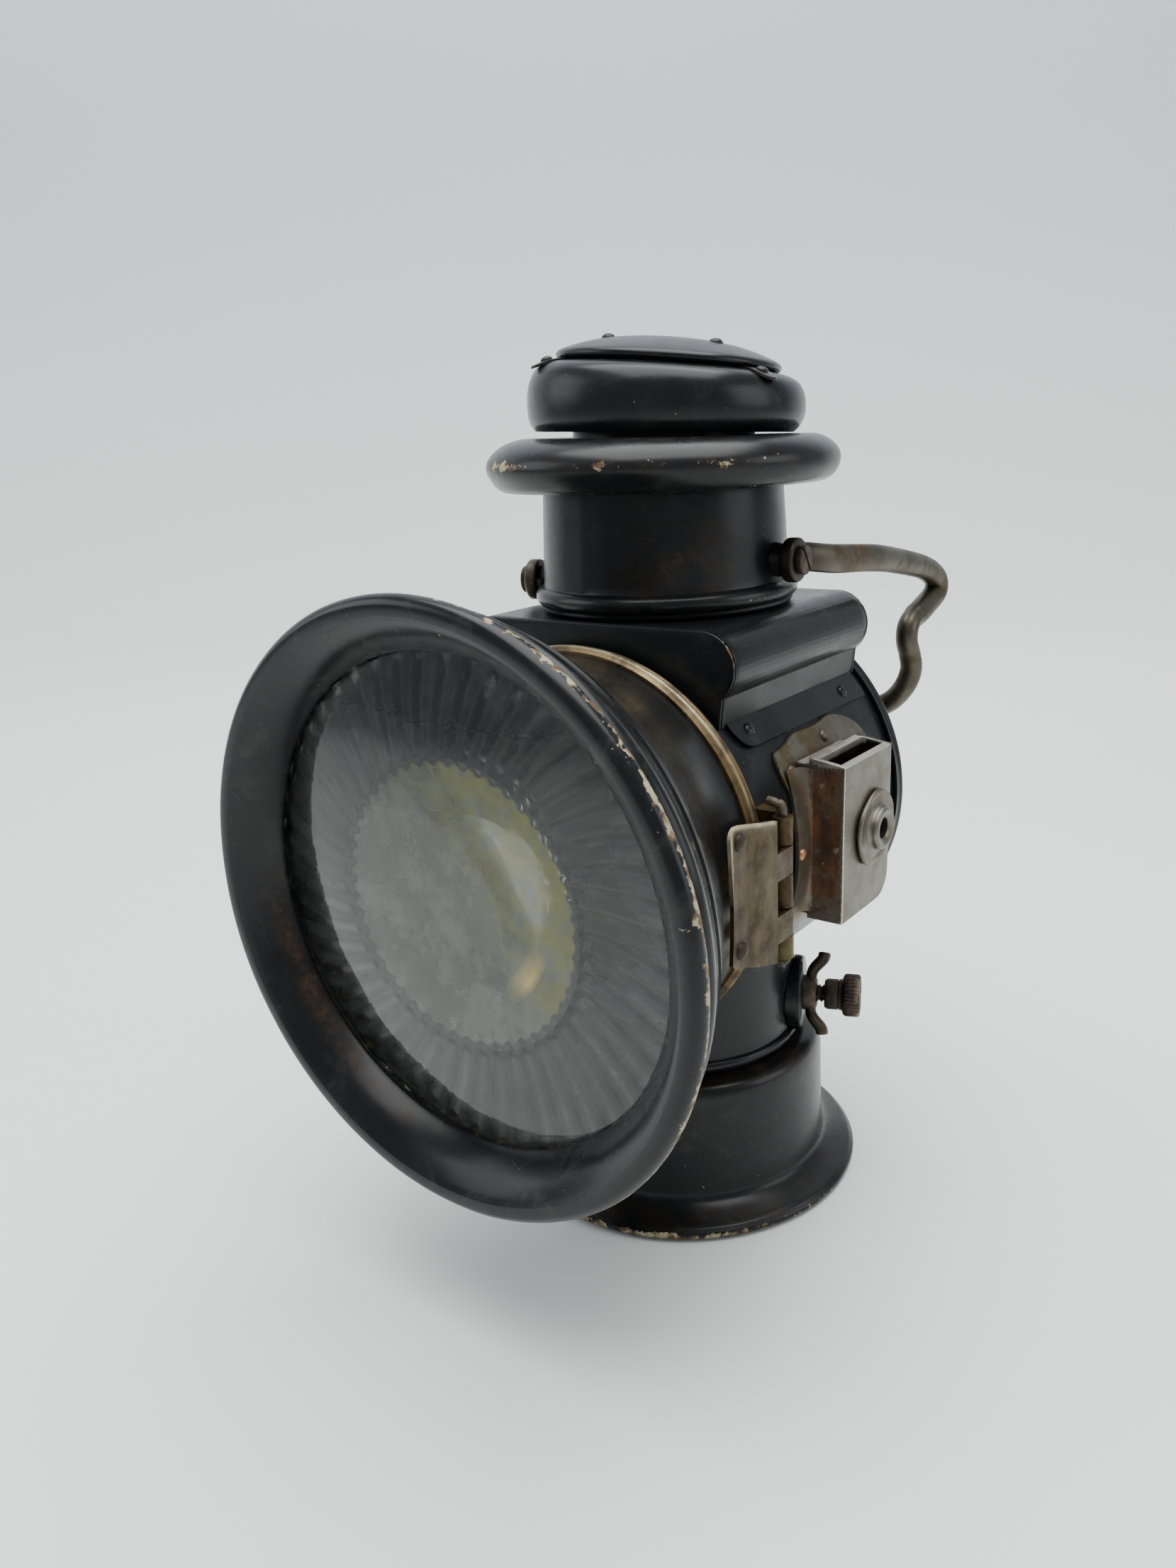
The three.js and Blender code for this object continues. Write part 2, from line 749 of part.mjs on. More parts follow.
/** Vertical bands of the knuckles, lowest first. */
function knuckleBands() {
  let low = HINGE_LOW;
  return KNUCKLES.map((height) => {
    const band = [low, low + height];
    low += height;
    return band;
  });
}

/** Knuckles of one leaf, with the webs that carry them, bored for the pin. */
function knuckles(first, webX, webY) {
  const bands = knuckleBands().filter((_, i) => i % 2 === first);
  return bands.map(([low, high]) => {
    const barrelPart = upright(drum(KNUCKLE_R, low + LEAF_GAP / 2, high - LEAF_GAP / 2), FINE);
    const web = box(webX[0], webX[1], webY[0], webY[1], low + LEAF_GAP / 2, high - LEAF_GAP / 2);
    return join(barrelPart.translate(HINGE_X, HINGE_Y, 0), web);
  });
}

function pinBore() {
  return upright(drum(PIN_R + 0.1, HINGE_LOW - 5, HINGE_LOW + 60), FINE).translate(HINGE_X, HINGE_Y, 0);
}

function rearLeaf() {
  const ring = onBarrel(tube(BARREL_SKIN, BARREL_SKIN + 1.2, -46.2, -37));
  const plate = common(ring, box(40, 80, -60, 0, HINGE_LOW, HINGE_LOW + HINGE_HEIGHT));
  const webs = knuckles(0, [56, HINGE_X], [-46.2, HINGE_Y + KNUCKLE_R]);
  const barrel = onBarrel(drum(BARREL_SKIN, -60, 0));
  return cut(join(plate, ...webs), barrel, pinBore());
}

/** Outside of the door drum as [radius, y], from the barrel forward. */
function drumPath() {
  return [
    [61.7, DOOR_BACK],
    [62, -60],
    [63.8, -68],
    [66.8, -76],
    [71, -84.5],
    [75.6, -92.5],
    [79.6, -99.5],
    [80.4, -103.5],
  ];
}

/** YZ outline of the front leaf, which climbs a little towards the hood. */
function leafOutline() {
  const top = HINGE_LOW + HINGE_HEIGHT;
  return [
    [-45, HINGE_LOW],
    [-45, top],
    [-57, top + 1.2],
    [-76.5, top + 5.4],
    [LEAF_FRONT, top + 3],
    [LEAF_FRONT + 1, HINGE_LOW + 30],
    [LEAF_FRONT, HINGE_LOW + 9.6],
    [-57, HINGE_LOW + 2],
  ];
}

const LEAF_FRONT = -80.6; // Y of the front leaf's riveted edge
const LEAF_EDGE = 71.3; // X of its outer face there
const LEAF_NOTCH = -56.6; // the knuckles' webs end here

/** Flat leaf from the flare of the drum to the outside of the knuckles. */
function frontLeaf() {
  const outer = HINGE_X + KNUCKLE_R;
  const plan = [
    [outer, LEAF_NOTCH],
    [LEAF_EDGE, LEAF_FRONT],
    [LEAF_EDGE - 1.2, LEAF_FRONT],
    [outer - 1.2, LEAF_NOTCH],
  ];
  const plate = common(alongZ(plan, HINGE_LOW, HINGE_LOW + 60), alongX(leafOutline(), 40, 80));
  const webs = knuckles(1, [outer - 1.2, outer], [LEAF_NOTCH - 0.4, HINGE_Y]);
  const skin = drumPath().slice(0, 6).map(([r, y]) => [r + 0.85, y]);
  const drumSkin = onBarrel([[0, DOOR_BACK], ...skin, [0, -92.5]]);
  return cut(join(plate, ...webs), drumSkin, pinBore());
}

function hingePin() {
  const top = HINGE_LOW + HINGE_HEIGHT;
  return upright([
    [0, HINGE_LOW - 1.6],
    [2, HINGE_LOW - 1.6],
    [2, HINGE_LOW - 0.3],
    [PIN_R, HINGE_LOW - 0.3],
    [PIN_R, top + 2.2],
    [0, top + 2.6],
  ], FINE).translate(HINGE_X, HINGE_Y, 0);
}

// ---------------------------------------------------------------- door

function doorDrum() {
  return onBarrel(sheet([...drumPath(), [82.6, -104.6]]));
}

/** Bezel, flared hood and rolled lip, with the skin that comes back to the drum. */
function hoodRim() {
  return onBarrel(sheet([
    [LENS_R + 0.9, -101],
    [LENS_R + 0.9, BEZEL_Y + 0.6],
    [BEZEL_R, BEZEL_Y],
    [75.2, -114.5],
    [78.6, -119.4],
    [83, -123],
    ...arc(LIP_R, LIP_Y, LIP_ROLL, -80, 70, 5),
    [85.2, -117.2],
    [86.2, -113.6],
    [84.6, -109.8],
    [82.8, -106.2],
  ]));
}

/** Pressed glass: domed front, thick bull's-eye, thin fluted outer ring. */
function lens() {
  const front = [];
  for (let i = 4; i >= 0; i -= 1) {
    const r = (LENS_R * i) / 4;
    front.push([r, BEZEL_Y + 1.2 - 6 * (1 - (r / LENS_R) ** 2)]);
  }
  return onBarrel([
    ...front,
    [0, -97.5],
    [16, -98.6],
    [30, -101.6],
    [BULL_R - 2, -105.4],
    [BULL_R, -108],
    [70, -106.4],
    [LENS_R, -106.4],
  ]);
}

function lensRing() {
  return onBarrel(arc(LENS_R - 1.1, -105, 1.1, 0, 300, 5));
}

// ---------------------------------------------------------------- door catch, on the left

/** Spring tongue on the drum that reaches back over the ring. */
function catchTongue() {
  const shell = onBarrel(sheet([[64.9, -68], [63.2, -60], [66.3, -55.4], [66.3, -41.4]], 1));
  return common(shell, box(-80, -40, -90, -30, BARREL_Z - 7, BARREL_Z + 7));
}

function catchStud() {
  const stud = along([[0, 0], [3, 0], [3, 1.2], [2, 2.2], [0, 2.5]], 12);
  return standOnBarrel(stud, -1, -43.4, BARREL_Z, BARREL_SKIN + 0.2);
}

// ---------------------------------------------------------------- assembly

add('barrel_shell', barrelShell(), 'japan');
add('barrel_front_ring', frontRing(), 'brightBrass');
add('rear_cover', rearCover(), 'japan');
add('saddle_shell', saddleShell(), 'japan');
add('saddle_front_plate', saddlePlate(SADDLE_FRONT - GAP - SHEET), 'japan');
add('saddle_rear_plate', saddlePlate(SADDLE_BACK + GAP), 'japan');

add('chimney', chimney(), 'japan');
add('vent_tube', ventTube(), 'japan');
add('lower_canopy', lowerCanopy(), 'japanWorn');
add('upper_canopy', upperCanopy(), 'japan');
add('top_cap', topCap(), 'japan');
CLIP_ANGLES.forEach((angle, i) => {
  add(`cap_clip_${i + 1}`, capClip(angle), 'japanWorn');
  add(`cap_rivet_${i + 1}`, capRivet(angle), 'japanWorn');
});

add('handle', handle(), 'nickel');
add('handle_lug_right', handleLug(RIGHT_EYE), 'japan');
add('handle_lug_left', handleLug(LEFT_EYE), 'japan');
add('handle_screw_right', handleScrew(RIGHT_EYE), 'rustySteel');
add('handle_screw_left', handleScrew(LEFT_EYE), 'rustySteel');

add('neck', neck(), 'japan');
add('water_tank', waterTank(), 'tin');
add('drip_nozzle', dripNozzle(), 'oldBrass');
add('gas_pipe', gasPipe(), 'oldBrass');
add('burner', burner(), 'steatite');
add('reflector', reflector(), 'tin');

add('foot_skirt', footSkirt(), 'japanWorn');
add('base_plate', upright(drum(FOOT_R - 2.2, 0, 1)), 'japanWorn');
add('carbide_pot', carbidePot(), 'tin');
add('pot_lid', potLid(), 'oldBrass');
add('filter_felt', upright(tube(8, POT_R - 1.4, POT_HIGH - 6, POT_HIGH - 2), HIDDEN), 'felt');

add('clamp_boss', clampBoss(), 'japanWorn');
add('clamp_screw_shank', clampShank(), 'rustySteel');
add('clamp_knob', clampKnob(), 'rustySteel');
add('wing_nut', wingNut(), 'rustySteel');

add('socket_plate', socketPlate(), 'nickel');
add('bracket_socket', bracketSocket(), 'nickel');
add('socket_boss', socketBoss(), 'nickel');
add('hinge_leaf_rear', rearLeaf(), 'oldBrass');
add('hinge_leaf_front', frontLeaf(), 'oldBrass');
add('hinge_pin', hingePin(), 'rustySteel');

add('door_drum', doorDrum(), 'japan');
add('hood_rim', hoodRim(), 'japanWorn');
add('lens', lens(), 'glass');
add('lens_retaining_ring', lensRing(), 'oldBrass');
add('catch_tongue', catchTongue(), 'oldBrass');
add('catch_stud', catchStud(), 'oldBrass');

const STRIP_SKIN = BARREL_SKIN + SHEET + 0.25;

/** A rivet on the barrel: its head's radius, side, Y, height above the barrel's axis, and finish. */
function addRivet(name, radius, side, y, rise, finish) {
  add(name, standOnBarrel(rivetHead(radius, 1.2), side, y, BARREL_Z + rise, STRIP_SKIN), finish);
}

[1, -1].forEach((side) => {
  const name = side > 0 ? 'right' : 'left';
  addRivet(`saddle_rivet_${name}_front`, 2.2, side, -32, 39.3, 'japan');
  addRivet(`saddle_rivet_${name}_rear`, 2.2, side, 29, 38.6, 'japan');
});
addRivet('socket_rivet_front', 2, 1, -21.6, 24.4, 'nickel');
addRivet('socket_rivet_top', 2, 1, 4.6, 29.7, 'nickel');
addRivet('socket_rivet_side', 1.8, 1, -24.8, -0.4, 'copper');

export default lamp;
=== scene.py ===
"""Visual model of the carbide lamp: fine surfaces, finishes, studio, camera. Metres, +Z up."""
import json
import math

import bmesh
import bpy
import numpy as np
from mathutils import Matrix, Vector, noise


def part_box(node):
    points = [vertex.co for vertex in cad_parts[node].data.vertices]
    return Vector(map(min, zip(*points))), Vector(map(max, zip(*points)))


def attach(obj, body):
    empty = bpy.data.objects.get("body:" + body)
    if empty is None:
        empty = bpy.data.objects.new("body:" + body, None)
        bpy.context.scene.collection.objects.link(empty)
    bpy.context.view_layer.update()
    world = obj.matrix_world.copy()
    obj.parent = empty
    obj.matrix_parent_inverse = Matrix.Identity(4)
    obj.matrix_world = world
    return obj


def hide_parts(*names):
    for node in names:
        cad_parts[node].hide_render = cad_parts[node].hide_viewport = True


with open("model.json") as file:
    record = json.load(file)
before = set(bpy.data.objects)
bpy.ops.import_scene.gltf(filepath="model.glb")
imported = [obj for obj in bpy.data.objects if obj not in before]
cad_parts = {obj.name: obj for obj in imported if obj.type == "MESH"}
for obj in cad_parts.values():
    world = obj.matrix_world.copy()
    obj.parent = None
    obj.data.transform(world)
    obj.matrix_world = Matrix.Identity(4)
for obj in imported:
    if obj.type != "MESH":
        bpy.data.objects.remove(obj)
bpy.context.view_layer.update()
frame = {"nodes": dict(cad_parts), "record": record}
RECORD = frame["record"]
BODY_OF = {n: b for b, ns in RECORD["behaviour"]["bodies"].items() for n in ns}
SLOT_OF = {s["node"]: s["material_slot"] for s in RECORD["subparts"]}
MM = 0.001
TAU = 2 * math.pi
WAVE_SEED = 7
noise.seed_set(WAVE_SEED)  # noise_vector starts from a different place each run without it


def box_mm(node):
    low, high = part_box(node)
    return np.array(low) / MM, np.array(high) / MM


def middle_mm(node):
    low, high = box_mm(node)
    return (low + high) / 2


BARREL_LOW, BARREL_HIGH = box_mm("barrel_shell")
BARREL_Z = (BARREL_LOW[2] + BARREL_HIGH[2]) / 2
BARREL_R = (BARREL_HIGH[2] - BARREL_LOW[2]) / 2
BARREL_FRONT, BARREL_BACK = BARREL_LOW[1], BARREL_HIGH[1]
SKIN = BARREL_R + 0.3

# ------------------------------------------------------------------ shaders


class Graph:
    """A material's node tree with short calls for the nodes used here."""

    def __init__(self, name):
        self.material = bpy.data.materials.new(name)
        self.material.use_nodes = True
        self.tree = self.material.node_tree
        self.tree.nodes.clear()
        self.place = self.node("TexCoord", {}, "Object")

    def node(self, kind, inputs, out=0, **settings):
        """Add a node with its settings and inputs, and give one of its outputs."""
        made = self.tree.nodes.new("ShaderNode" + kind)
        for key, value in settings.items():
            setattr(made, key, value)
        for key, value in inputs.items():
            socket = made.inputs[key]
            if isinstance(value, bpy.types.NodeSocket):
                self.tree.links.new(value, socket)
            else:
                socket.default_value = (*value, 1.0) if socket.type == "RGBA" else value
        return made.outputs[out] if len(made.outputs) else made

    def stretched(self, *scale):
        return self.node("Mapping", {"Vector": self.place, "Scale": scale}, "Vector")

    def noise(self, scale, detail=4.0, rough=0.55, vector=None, distortion=0.0):
        inputs = {"Vector": vector or self.place, "Scale": scale, "Detail": detail}
        return self.node("TexNoise", {**inputs, "Roughness": rough, "Distortion": distortion}, "Fac")

    def math(self, op, a, b, clamp=False):
        return self.node("Math", {0: a, 1: b}, operation=op, use_clamp=clamp)

    def plus(self, a, b, clamp=False):
        return self.math("ADD", a, b, clamp)

    def minus(self, a, b):
        return self.math("SUBTRACT", a, b)

    def times(self, a, b, clamp=False):
        return self.math("MULTIPLY", a, b, clamp)

    def most(self, a, b):
        return self.math("MAXIMUM", a, b)

    def step(self, value, low, high):
        """0 below low, 1 above high, smooth between."""
        return self.node("MapRange", {"Value": value, "From Min": low, "From Max": high}, "Result",
                         interpolation_type="SMOOTHSTEP")

    def span(self, value, low, high):
        """A noise value spread over low to high."""
        limits = {"From Min": 0.3, "From Max": 0.7, "To Min": low, "To Max": high}
        return self.node("MapRange", {"Value": value, **limits}, "Result")

    def mix(self, fac, a, b):
        return self.node("Mix", {0: fac, 6: a, 7: b}, 2, data_type="RGBA")

    def blend(self, fac, a, b):
        return self.node("Mix", {0: fac, 2: a, 3: b}, data_type="FLOAT")

    def mask(self, channel):
        painted = self.node("Attribute", {}, "Color", attribute_name="mask")
        return self.node("SeparateColor", {0: painted}, channel)

    def along(self, axis):
        return self.node("SeparateXYZ", {0: self.place}, axis)

    def bump(self, height, strength, distance, normal=None):
        under = {} if normal is None else {"Normal": normal}
        inputs = {"Height": height, "Strength": strength, "Distance": distance}
        return self.node("Bump", {**inputs, **under}, "Normal")

    def surface(self, **values):
        return self.node("BsdfPrincipled", {key.replace("_", " "): value for key, value in values.items()})

    def finish(self, shader):
        self.node("OutputMaterial", {"Surface": shader})
        return self.material

    def done(self, **values):
        return self.finish(self.surface(**values))


CHIP_LIGHT = (0.37, 0.32, 0.21)
CHIP_BROWN = (0.10, 0.055, 0.025)


def japan(name, dust, chips):
    """Satin black lacquer on tinplate: haze, dust, fine scratches, chips down to the metal."""
    g = Graph(name)
    wear, rust, shine = g.mask("Red"), g.mask("Green"), g.mask("Blue")
    cloud = g.noise(28, 5)
    fine = g.noise(420, 6, 0.65)
    body = g.mix(g.step(cloud, 0.35, 0.7), (0.0046, 0.0056, 0.0064), (0.0080, 0.0092, 0.0098))
    haze = g.times(g.step(g.noise(75, 8, 0.7, distortion=0.6), 0.5, 0.78), dust)
    body = g.mix(haze, body, (0.034, 0.034, 0.032))
    brown = g.times(g.step(g.noise(46, 6, 0.6), 0.56, 0.74), 0.18)
    body = g.mix(brown, body, (0.024, 0.018, 0.012))
    rusty = g.times(rust, g.step(g.noise(60, 8, 0.7), 0.36, 0.62), clamp=True)
    body = g.mix(rusty, body, g.mix(g.step(fine, 0.4, 0.65), (0.030, 0.016, 0.008), (0.095, 0.046, 0.019)))
    lines = g.step(g.noise(6, 2, 0.5, g.stretched(14, 60, 900), 0.4), 0.70, 0.74)
    lines = g.times(lines, g.step(g.noise(22, 2), 0.52, 0.62))
    body = g.mix(g.times(lines, 0.35), body, (0.12, 0.12, 0.115))
    worn = g.plus(g.times(wear, 0.34), g.times(g.noise(110, 8, 0.66, distortion=0.8), 0.62))
    worn = g.plus(worn, g.times(fine, 0.40))
    chip = g.step(worn, chips, chips + 0.018)
    specks = g.step(g.noise(640, 3, 0.5), 0.735, 0.765)
    chip = g.most(chip, g.times(specks, 0.55))
    metal = g.mix(g.step(g.noise(260, 4), 0.42, 0.58), CHIP_BROWN, CHIP_LIGHT)
    colour = g.mix(chip, body, metal)
    gloss = g.span(g.noise(55, 6), 0.24, 0.36)
    gloss = g.blend(haze, gloss, 0.5)
    gloss = g.blend(g.times(shine, 0.6), gloss, 0.20)
    gloss = g.blend(g.most(chip, rusty), gloss, 0.6)
    relief = g.plus(g.times(g.noise(150, 5), 0.5), g.times(fine, 0.16))
    relief = g.minus(relief, g.times(chip, 0.5))
    normal = g.bump(g.noise(38, 2), 0.30, 0.0006)
    normal = g.bump(relief, 0.42, 0.00016, normal)
    return g.done(Base_Color=colour, Roughness=gloss, Normal=normal, Specular_IOR_Level=0.26)


def ring_brass():
    """Brass ring with a painted highlight: light brass on its upper part, strongest along the bead's crest; lower
    down and off the crest, brown brass as painted shade, with darker tarnish patches.
    """
    g = Graph("ring_brass")
    # Painted highlight: light brass towards the top and along the crest, brown as painted shade lower down and
    # off the crest.
    low = g.step(g.plus(g.along("Z"), g.times(g.noise(40), 0.03)), 0.178, 0.204)
    low = g.times(g.plus(low, 0.25, clamp=True), g.blend(g.mask("Red"), 0.12, 1.0))
    patch = g.step(g.noise(90, 7, 0.7), 0.44, 0.62)
    bright = g.mix(g.noise(200), (0.36, 0.31, 0.19), (0.56, 0.52, 0.38))
    dull = g.mix(patch, (0.150, 0.098, 0.042), (0.050, 0.031, 0.015))
    painted_highlight = g.times(low, g.minus(1.0, g.times(patch, 0.6)))
    colour = g.mix(painted_highlight, dull, bright)
    normal = g.bump(g.noise(300, 6), 0.35, 0.0002)
    rough = g.span(g.noise(120, 5), 0.34, 0.58)
    return g.done(Base_Color=colour, Roughness=rough, Metallic=0.85, Normal=normal)


def aged_brass():
    """Brown aged brass with an upright grain, greenish in places."""
    g = Graph("aged_brass")
    grain = g.noise(1.0, 8, 0.72, g.stretched(190, 190, 120), 0.6)
    patch = g.noise(75, 6, 0.65)
    colour = g.mix(g.step(grain, 0.36, 0.64), (0.034, 0.022, 0.009), (0.076, 0.052, 0.020))
    colour = g.mix(g.step(patch, 0.52, 0.66), colour, (0.042, 0.021, 0.010))
    colour = g.mix(g.times(g.step(g.noise(52, 4), 0.52, 0.64), 0.6), colour, (0.090, 0.082, 0.032))
    colour = g.mix(g.times(g.mask("Red"), g.step(patch, 0.30, 0.52)), colour, (0.52, 0.45, 0.31))
    colour = g.mix(g.times(g.mask("Green"), 0.8), colour, (0.040, 0.030, 0.026))
    rough = g.span(g.noise(160, 6), 0.34, 0.62)
    relief = g.plus(grain, g.times(g.noise(500, 5), 0.5))
    return g.done(Base_Color=colour, Roughness=rough, Metallic=0.78, Normal=g.bump(relief, 0.3, 0.0001))


def nickel():
    """Dull scratched nickel plate: the mask's red browns it, its green rusts it, its blue darkens it."""
    g = Graph("nickel")
    wear, rust, dark = g.mask("Red"), g.mask("Green"), g.mask("Blue")
    cloud = g.noise(60, 6, 0.6)
    colour = g.mix(g.step(cloud, 0.35, 0.68), (0.132, 0.128, 0.106), (0.210, 0.204, 0.176))
    tan = g.times(g.step(g.noise(95, 7, 0.68), 0.42, 0.66), g.plus(wear, 0.16, clamp=True))
    tan = g.plus(tan, g.times(wear, 0.45), clamp=True)
    colour = g.mix(tan, colour, (0.112, 0.084, 0.044))
    colour = g.mix(g.times(dark, 0.9), colour, (0.028, 0.022, 0.017))
    bare = g.times(g.step(wear, 0.10, 0.02), 0.8)
    colour = g.mix(bare, colour, (0.56, 0.53, 0.44))
    red = g.times(rust, g.step(g.noise(120, 8, 0.7), 0.30, 0.52), clamp=True)
    streak = g.noise(1.0, 6, 0.62, g.stretched(130, 130, 55))
    iron = g.mix(g.step(streak, 0.36, 0.68), (0.034, 0.016, 0.009), (0.135, 0.058, 0.022))
    colour = g.mix(red, colour, iron)
    scratch = g.step(g.noise(5, 2, 0.5, g.stretched(60, 900, 70), 0.5), 0.68, 0.72)
    cross = g.step(g.noise(5, 2, 0.5, g.stretched(60, 80, 1000), 0.5), 0.70, 0.74)
    scratch = g.most(scratch, cross)
    colour = g.mix(g.times(scratch, 0.35), colour, (0.30, 0.28, 0.24))
    pits = g.step(g.noise(520, 4), 0.66, 0.72)
    colour = g.mix(g.times(pits, 0.6), colour, (0.10, 0.075, 0.05))
    rough = g.span(g.noise(140, 6), 0.30, 0.46)
    rough = g.blend(g.most(red, g.times(tan, 0.6)), rough, 0.62)
    metal = g.blend(red, 0.92, 0.45)
    relief = g.minus(g.noise(350, 6), g.times(scratch, 0.6))
    normal = g.bump(relief, 0.32, 0.00012)
    return g.done(Base_Color=colour, Roughness=rough, Metallic=metal, Normal=normal)


def rusty_steel():
    """Dark steel with brown rust, bright where the mask's red says."""
    g = Graph("rusty_steel")
    patch = g.noise(170, 7, 0.7)
    colour = g.mix(g.step(patch, 0.38, 0.62), (0.016, 0.013, 0.011), (0.055, 0.038, 0.025))
    colour = g.mix(g.times(g.mask("Red"), g.step(g.noise(300), 0.4, 0.6)), colour, (0.22, 0.18, 0.12))
    rough = g.span(g.noise(260, 5), 0.38, 0.66)
    normal = g.bump(g.noise(600, 6, 0.7), 0.6, 0.00022)
    return g.done(Base_Color=colour, Roughness=rough, Metallic=0.6, Normal=normal)


def tinplate():
    """Tinned sheet, cloudy, with yellow-green tarnish and small stains."""
    g = Graph("tinplate")
    cloud = g.noise(42, 7, 0.66, distortion=0.5)
    colour = g.mix(g.step(cloud, 0.36, 0.66), (0.50, 0.52, 0.50), (0.70, 0.72, 0.70))
    side = g.plus(g.times(g.along("X"), 14.0), g.times(g.minus(g.along("Z"), 0.1344), 14.0))
    tarnish = g.step(g.plus(side, g.noise(60, 6)), 0.45, 0.95)
    colour = g.mix(g.times(tarnish, 0.75), colour, (0.36, 0.345, 0.14))
    stain = g.step(g.noise(130, 8, 0.72), 0.58, 0.72)
    colour = g.mix(g.times(stain, 0.7), colour, (0.16, 0.135, 0.085))
    rough = g.span(g.noise(90, 5), 0.38, 0.55)
    normal = g.bump(g.noise(70, 4), 0.3, 0.0005)
    return g.done(Base_Color=colour, Roughness=rough, Metallic=0.45, Normal=normal)


def plain_finish(name, low, high, scale, rough, metal, relief):
    """Two tones mottled together with a fine relief, for the small inner pieces."""
    g = Graph(name)
    colour = g.mix(g.step(g.noise(scale, 6, 0.65), 0.36, 0.64), low, high)
    gloss = g.span(g.noise(scale * 2, 5), rough - 0.1, rough + 0.1)
    normal = g.bump(g.noise(scale * 3, 6, 0.7), 0.5, relief)
    return g.done(Base_Color=colour, Roughness=gloss, Metallic=metal, Normal=normal)


def pressed_glass():
    """Old pressed glass, faintly grey-green, with small waves and dust; lets lamplight through. Its back carries
    a painted view of the lit reflector, painted shade over the flutes and a painted golden glint.
    """
    g = Graph("pressed_glass")
    dust = g.times(g.step(g.noise(240, 8, 0.7), 0.5, 0.75), 0.05)
    tint = g.mix(g.noise(30), (0.86, 0.90, 0.87), (0.93, 0.95, 0.93))
    rough = g.plus(dust, 0.015)
    normal = g.bump(g.noise(110, 3), 0.18, 0.0005)
    glass = g.surface(Base_Color=tint, Roughness=rough, IOR=1.5, Transmission_Weight=1.0, Normal=normal,
                      Specular_IOR_Level=0.28)
    # The mask paints onto the glass's back what the lit lamp shows through it: red lays on a painted view of the
    # reflector, green that view's tarnish, blue a painted golden glint.
    painted_view, tarnish, streak = g.mask("Red"), g.mask("Green"), g.mask("Blue")
    cloud = g.step(g.noise(70, 7, 0.65), 0.34, 0.66)
    haze = g.mix(cloud, (0.092, 0.102, 0.090), (0.165, 0.178, 0.156))
    haze = g.mix(g.times(tarnish, g.step(g.noise(120, 7, 0.7), 0.30, 0.6)), haze, (0.215, 0.205, 0.040))
    haze = g.mix(streak, haze, (1.0, 0.72, 0.26))
    # Over the flutes the painted view becomes painted shade, near black, thinner in streaks.
    full = g.step(painted_view, 0.86, 0.97)
    haze = g.mix(full, g.mix(cloud, (0.016, 0.018, 0.018), (0.045, 0.049, 0.048)), haze)
    behind = g.surface(Base_Color=haze, Roughness=0.65, Specular_IOR_Level=0.15)
    cover = g.times(painted_view, g.blend(full, 1.12, g.blend(cloud, 0.60, 0.80)))
    cover = g.most(cover, g.times(streak, 0.95))
    layered = g.node("MixShader", {0: cover, 1: glass, 2: behind})
    clear = g.node("BsdfTransparent", {"Color": (0.90, 0.93, 0.91)})
    shadow = g.node("LightPath", {}, "Is Shadow Ray")
    return g.finish(g.node("MixShader", {0: shadow, 1: layered, 2: clear}))


FINISHES = {
    "japan_black": japan("japan_black", 0.45, 0.745),
    "japan_worn": japan("japan_worn", 0.60, 0.690),
    "ring_brass": ring_brass(),
    "aged_brass": aged_brass(),
    "nickel": nickel(),
    "rusty_steel": rusty_steel(),
    "tinplate": tinplate(),
    "copper": plain_finish("copper", (0.36, 0.17, 0.08), (0.62, 0.36, 0.20), 300, 0.38, 0.9, 0.0001),
    "steatite": plain_finish("steatite", (0.50, 0.45, 0.37), (0.72, 0.68, 0.60), 180, 0.6, 0.0, 0.0001),
    "felt": plain_finish("felt", (0.15, 0.135, 0.11), (0.30, 0.27, 0.23), 600, 0.9, 0.0, 0.0006),
    "pressed_glass": pressed_glass(),
}

# ------------------------------------------------------------------ mesh helpers

SEGMENTS = 160
TO_X = Matrix.Rotation(math.pi / 2, 4, "Y")
LEAN_FROM = 250.0
LEAN = 0.105
LEAN_WAY = Vector((0.786, 0.618, 0.0))
TILTS = ((240, 0.0), (246, 1.1), (258, 1.3), (259.4, 3.0), (263, 3.4), (268, 5.8), (277, 6.4), (281, 6.7))


def bent(p):
    """Where a point ends up: the sheet waves a little and the crown leans."""
    wave = noise.noise_vector(Vector(p) * 0.028) * 0.16
    wave += noise.noise_vector(Vector(p) * 0.075 + Vector((9.0, 2.0, 5.0))) * 0.05
    out = Vector(p) + wave
    out.z = max(out.z, 0.0) if p[2] >= 0 else out.z
    if p[2] > LEAN_FROM:
        out += LEAN_WAY * (p[2] - LEAN_FROM) * LEAN
    if p[2] > TILTS[0][0]:
        tilt = np.interp(p[2], [h for h, _ in TILTS], [a for _, a in TILTS])
        out.z -= (LEAN_WAY.x * p[0] + LEAN_WAY.y * p[1]) * math.sin(math.radians(tilt))
    return out


def build(node, verts, faces):
    """An object made of millimetre points, merged and with its faces turned outwards."""
    mesh = bpy.data.meshes.new(node + ".fine")
    mesh.from_pydata([tuple(v) for v in verts], [], faces)
    obj = bpy.data.objects.new(mesh.name, mesh)
    bpy.context.scene.collection.objects.link(obj)
    work = bmesh.new()
    work.from_mesh(mesh)
    bmesh.ops.remove_doubles(work, verts=work.verts, dist=1e-4)
    bmesh.ops.dissolve_degenerate(work, edges=work.edges, dist=1e-5)
    bmesh.ops.recalc_face_normals(work, faces=work.faces)
    work.to_mesh(mesh)
    work.free()
    return obj


def densified(obj, longest):
    """Split long edges, so that what is painted on the points stays where it belongs."""
    work = bmesh.new()
    work.from_mesh(obj.data)
    bmesh.ops.triangulate(work, faces=work.faces)
    for _ in range(5):
        edges = [e for e in work.edges if e.calc_length() > longest]
        if not edges:
            break
        bmesh.ops.subdivide_edges(work, edges=edges, cuts=1)
        bmesh.ops.triangulate(work, faces=[f for f in work.faces if len(f.verts) > 3])
    work.to_mesh(obj.data)
    work.free()


